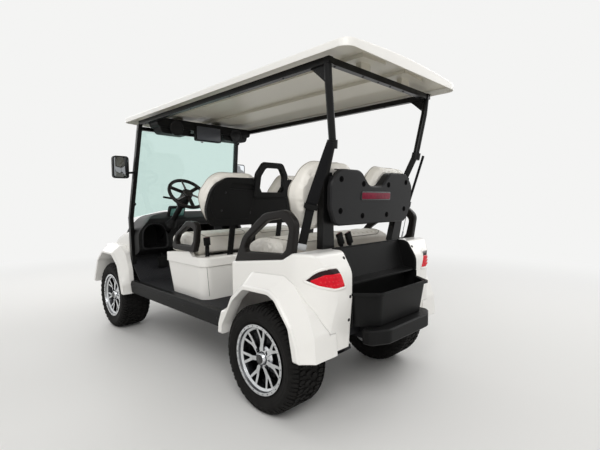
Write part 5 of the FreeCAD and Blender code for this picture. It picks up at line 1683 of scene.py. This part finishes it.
@dataclass
class Studio:
    """Camera, floor and soft lights."""

    eye: Corner = (1.934, 2.6387, 1.1485)
    yaw: float = 224.96
    pitch: float = -3.61
    roll: float = -0.31
    focal_px: float = 395.6
    frame_px: float = 600.0
    floor_half: float = 30.0
    floor_paint: str = "EDECE9"
    fade: tuple[float, float] = (1.8, 6.5)         # metres over which the floor turns into the backdrop
    backdrop: str = "F4F4F3"
    daylight: float = 0.5
    aim: Corner = (0, 0, 0.8)
    lamp_size: float = 3.0

    def camera(self) -> None:
        """Set the camera at the photograph's place, direction and focal length."""
        yaw, pitch, roll = (math.radians(a) for a in (self.yaw, self.pitch, self.roll))
        ahead = Vector((math.sin(yaw) * math.cos(pitch), math.cos(yaw) * math.cos(pitch),
                        math.sin(pitch)))
        right = ahead.cross(UP).normalized()
        above = right.cross(ahead)
        right, above = (math.cos(roll) * right + math.sin(roll) * above,
                        -math.sin(roll) * right + math.cos(roll) * above)
        data = bpy.data.cameras.new("camera")
        data.lens = self.focal_px / self.frame_px * data.sensor_width
        camera = bpy.data.objects.new("camera", data)
        basis = Matrix((right, above, -ahead)).transposed().to_4x4()
        camera.matrix_world = Matrix.Translation(self.eye) @ basis
        bpy.context.scene.collection.objects.link(camera)
        bpy.context.scene.camera = camera

    def lamp(self, name: str, place: Corner, watts: float) -> None:
        """Add a square area lamp that points at the cart."""
        data = bpy.data.lights.new(name, "AREA")
        data.size = self.lamp_size
        data.energy = watts
        lamp = bpy.data.objects.new(name, data)
        lamp.location = place
        aim = Vector(self.aim) - Vector(place)
        lamp.rotation_euler = aim.to_track_quat("-Z", "Y").to_euler()
        bpy.context.scene.collection.objects.link(lamp)

    def seen(self, tree: NodeTree) -> Socket:
        """1 for what the camera sees directly, in metal or through glass, and 0 for light."""
        path = add_node(tree, "ShaderNodeLightPath")
        either = path.outputs["Is Camera Ray"]
        for ray in ("Is Glossy Ray", "Is Transmission Ray"):
            either = add_node(tree, "ShaderNodeMath", {0: either, 1: path.outputs[ray]},
                              operation="MAXIMUM").outputs[0]
        return either

    def floor(self) -> None:
        """Lay a pale floor that keeps the cart's shadow and turns into the backdrop far away."""
        shape = bmesh.new()
        bmesh.ops.create_grid(shape, x_segments=1, y_segments=1, size=self.floor_half)
        mesh = bpy.data.meshes.new("floor")
        shape.to_mesh(mesh)
        shape.free()
        floor = bpy.data.objects.new("floor", mesh)
        bpy.context.scene.collection.objects.link(floor)
        made = bpy.data.materials.new("floor_paint")
        made.use_nodes = True
        tree = made.node_tree
        paint = tree.nodes["Principled BSDF"]
        paint.inputs["Base Color"].default_value = linear(self.floor_paint)
        paint.inputs["Roughness"].default_value = 0.6
        place = add_node(tree, "ShaderNodeTexCoord").outputs["Object"]
        away = add_node(tree, "ShaderNodeVectorMath", {0: place}, operation="LENGTH").outputs["Value"]
        near, far = self.fade
        share = add_node(tree, "ShaderNodeMapRange", {"Value": away, "From Min": near, "From Max": far},
                         interpolation_type="SMOOTHSTEP").outputs["Result"]
        share = add_node(tree, "ShaderNodeMath", {0: share, 1: self.seen(tree)},
                         operation="MULTIPLY").outputs[0]
        glow = add_node(tree, "ShaderNodeEmission", {"Color": linear(self.backdrop), "Strength": 1.0})
        mix = add_node(tree, "ShaderNodeMixShader", {0: share, 1: paint.outputs[0], 2: glow.outputs[0]})
        tree.links.new(mix.outputs[0], tree.nodes["Material Output"].inputs["Surface"])
        mesh.materials.append(made)

    def world(self) -> None:
        """Light the cart evenly and show a pale backdrop to the camera, metal and glass."""
        world = bpy.data.worlds.new("studio")
        world.use_nodes = True
        tree = world.node_tree
        tree.nodes.clear()
        light = add_node(tree, "ShaderNodeBackground", {"Color": linear("FFFFFF"),
                                                        "Strength": self.daylight})
        shown = add_node(tree, "ShaderNodeBackground", {"Color": linear(self.backdrop), "Strength": 1.0})
        mix = add_node(tree, "ShaderNodeMixShader", {0: self.seen(tree), 1: light.outputs[0],
                                                     2: shown.outputs[0]})
        add_node(tree, "ShaderNodeOutputWorld", {"Surface": mix.outputs[0]})
        bpy.context.scene.world = world

    def build(self) -> None:
        """Set up camera, floor, backdrop and lamps."""
        self.camera()
        self.floor()
        self.world()
        self.lamp("key", (3.5, 4.0, 4.5), 140)
        self.lamp("fill", (-4.0, 2.0, 3.5), 60)
        self.lamp("front", (0.5, -4.5, 3.0), 60)
        bpy.context.scene.view_settings.view_transform = "Standard"


def dress_solids() -> None:
    """Give every solid that keeps its own mesh the finish of its node or its slot."""
    for row in frame["record"]["subparts"]:
        piece = frame["nodes"][row["node"]]
        finish = NODE_FINISH.get(row["node"], SLOT_FINISH[row["material_slot"]])
        for slot in piece.material_slots:
            slot.material = finish.material()


def main() -> None:
    """Build the cart's looks in order."""
    logging.basicConfig(level=logging.INFO)
    Studio().build()
    dress_solids()
    Upholstery().build()
    for body in (Body.FRONT_LEFT, Body.FRONT_RIGHT, Body.REAR_LEFT, Body.REAR_RIGHT):
        name = body.value.removeprefix("wheel_")
        side = 1 if "left" in name else -1
        axle_y = -WHEELBASE if "front" in name else 0.0
        Tyre(f"tyre_{name}", body, side, axle_y).build()
        WheelTrim(name, body, side, axle_y).build()
    for assembly in (SeatShells(), Belts(), Lamps(), LoadBay(), Cabin(), Canopy(), RunningGear(),
                     BodyTrim()):
        assembly.build()


if __name__ == "__main__":
    main()
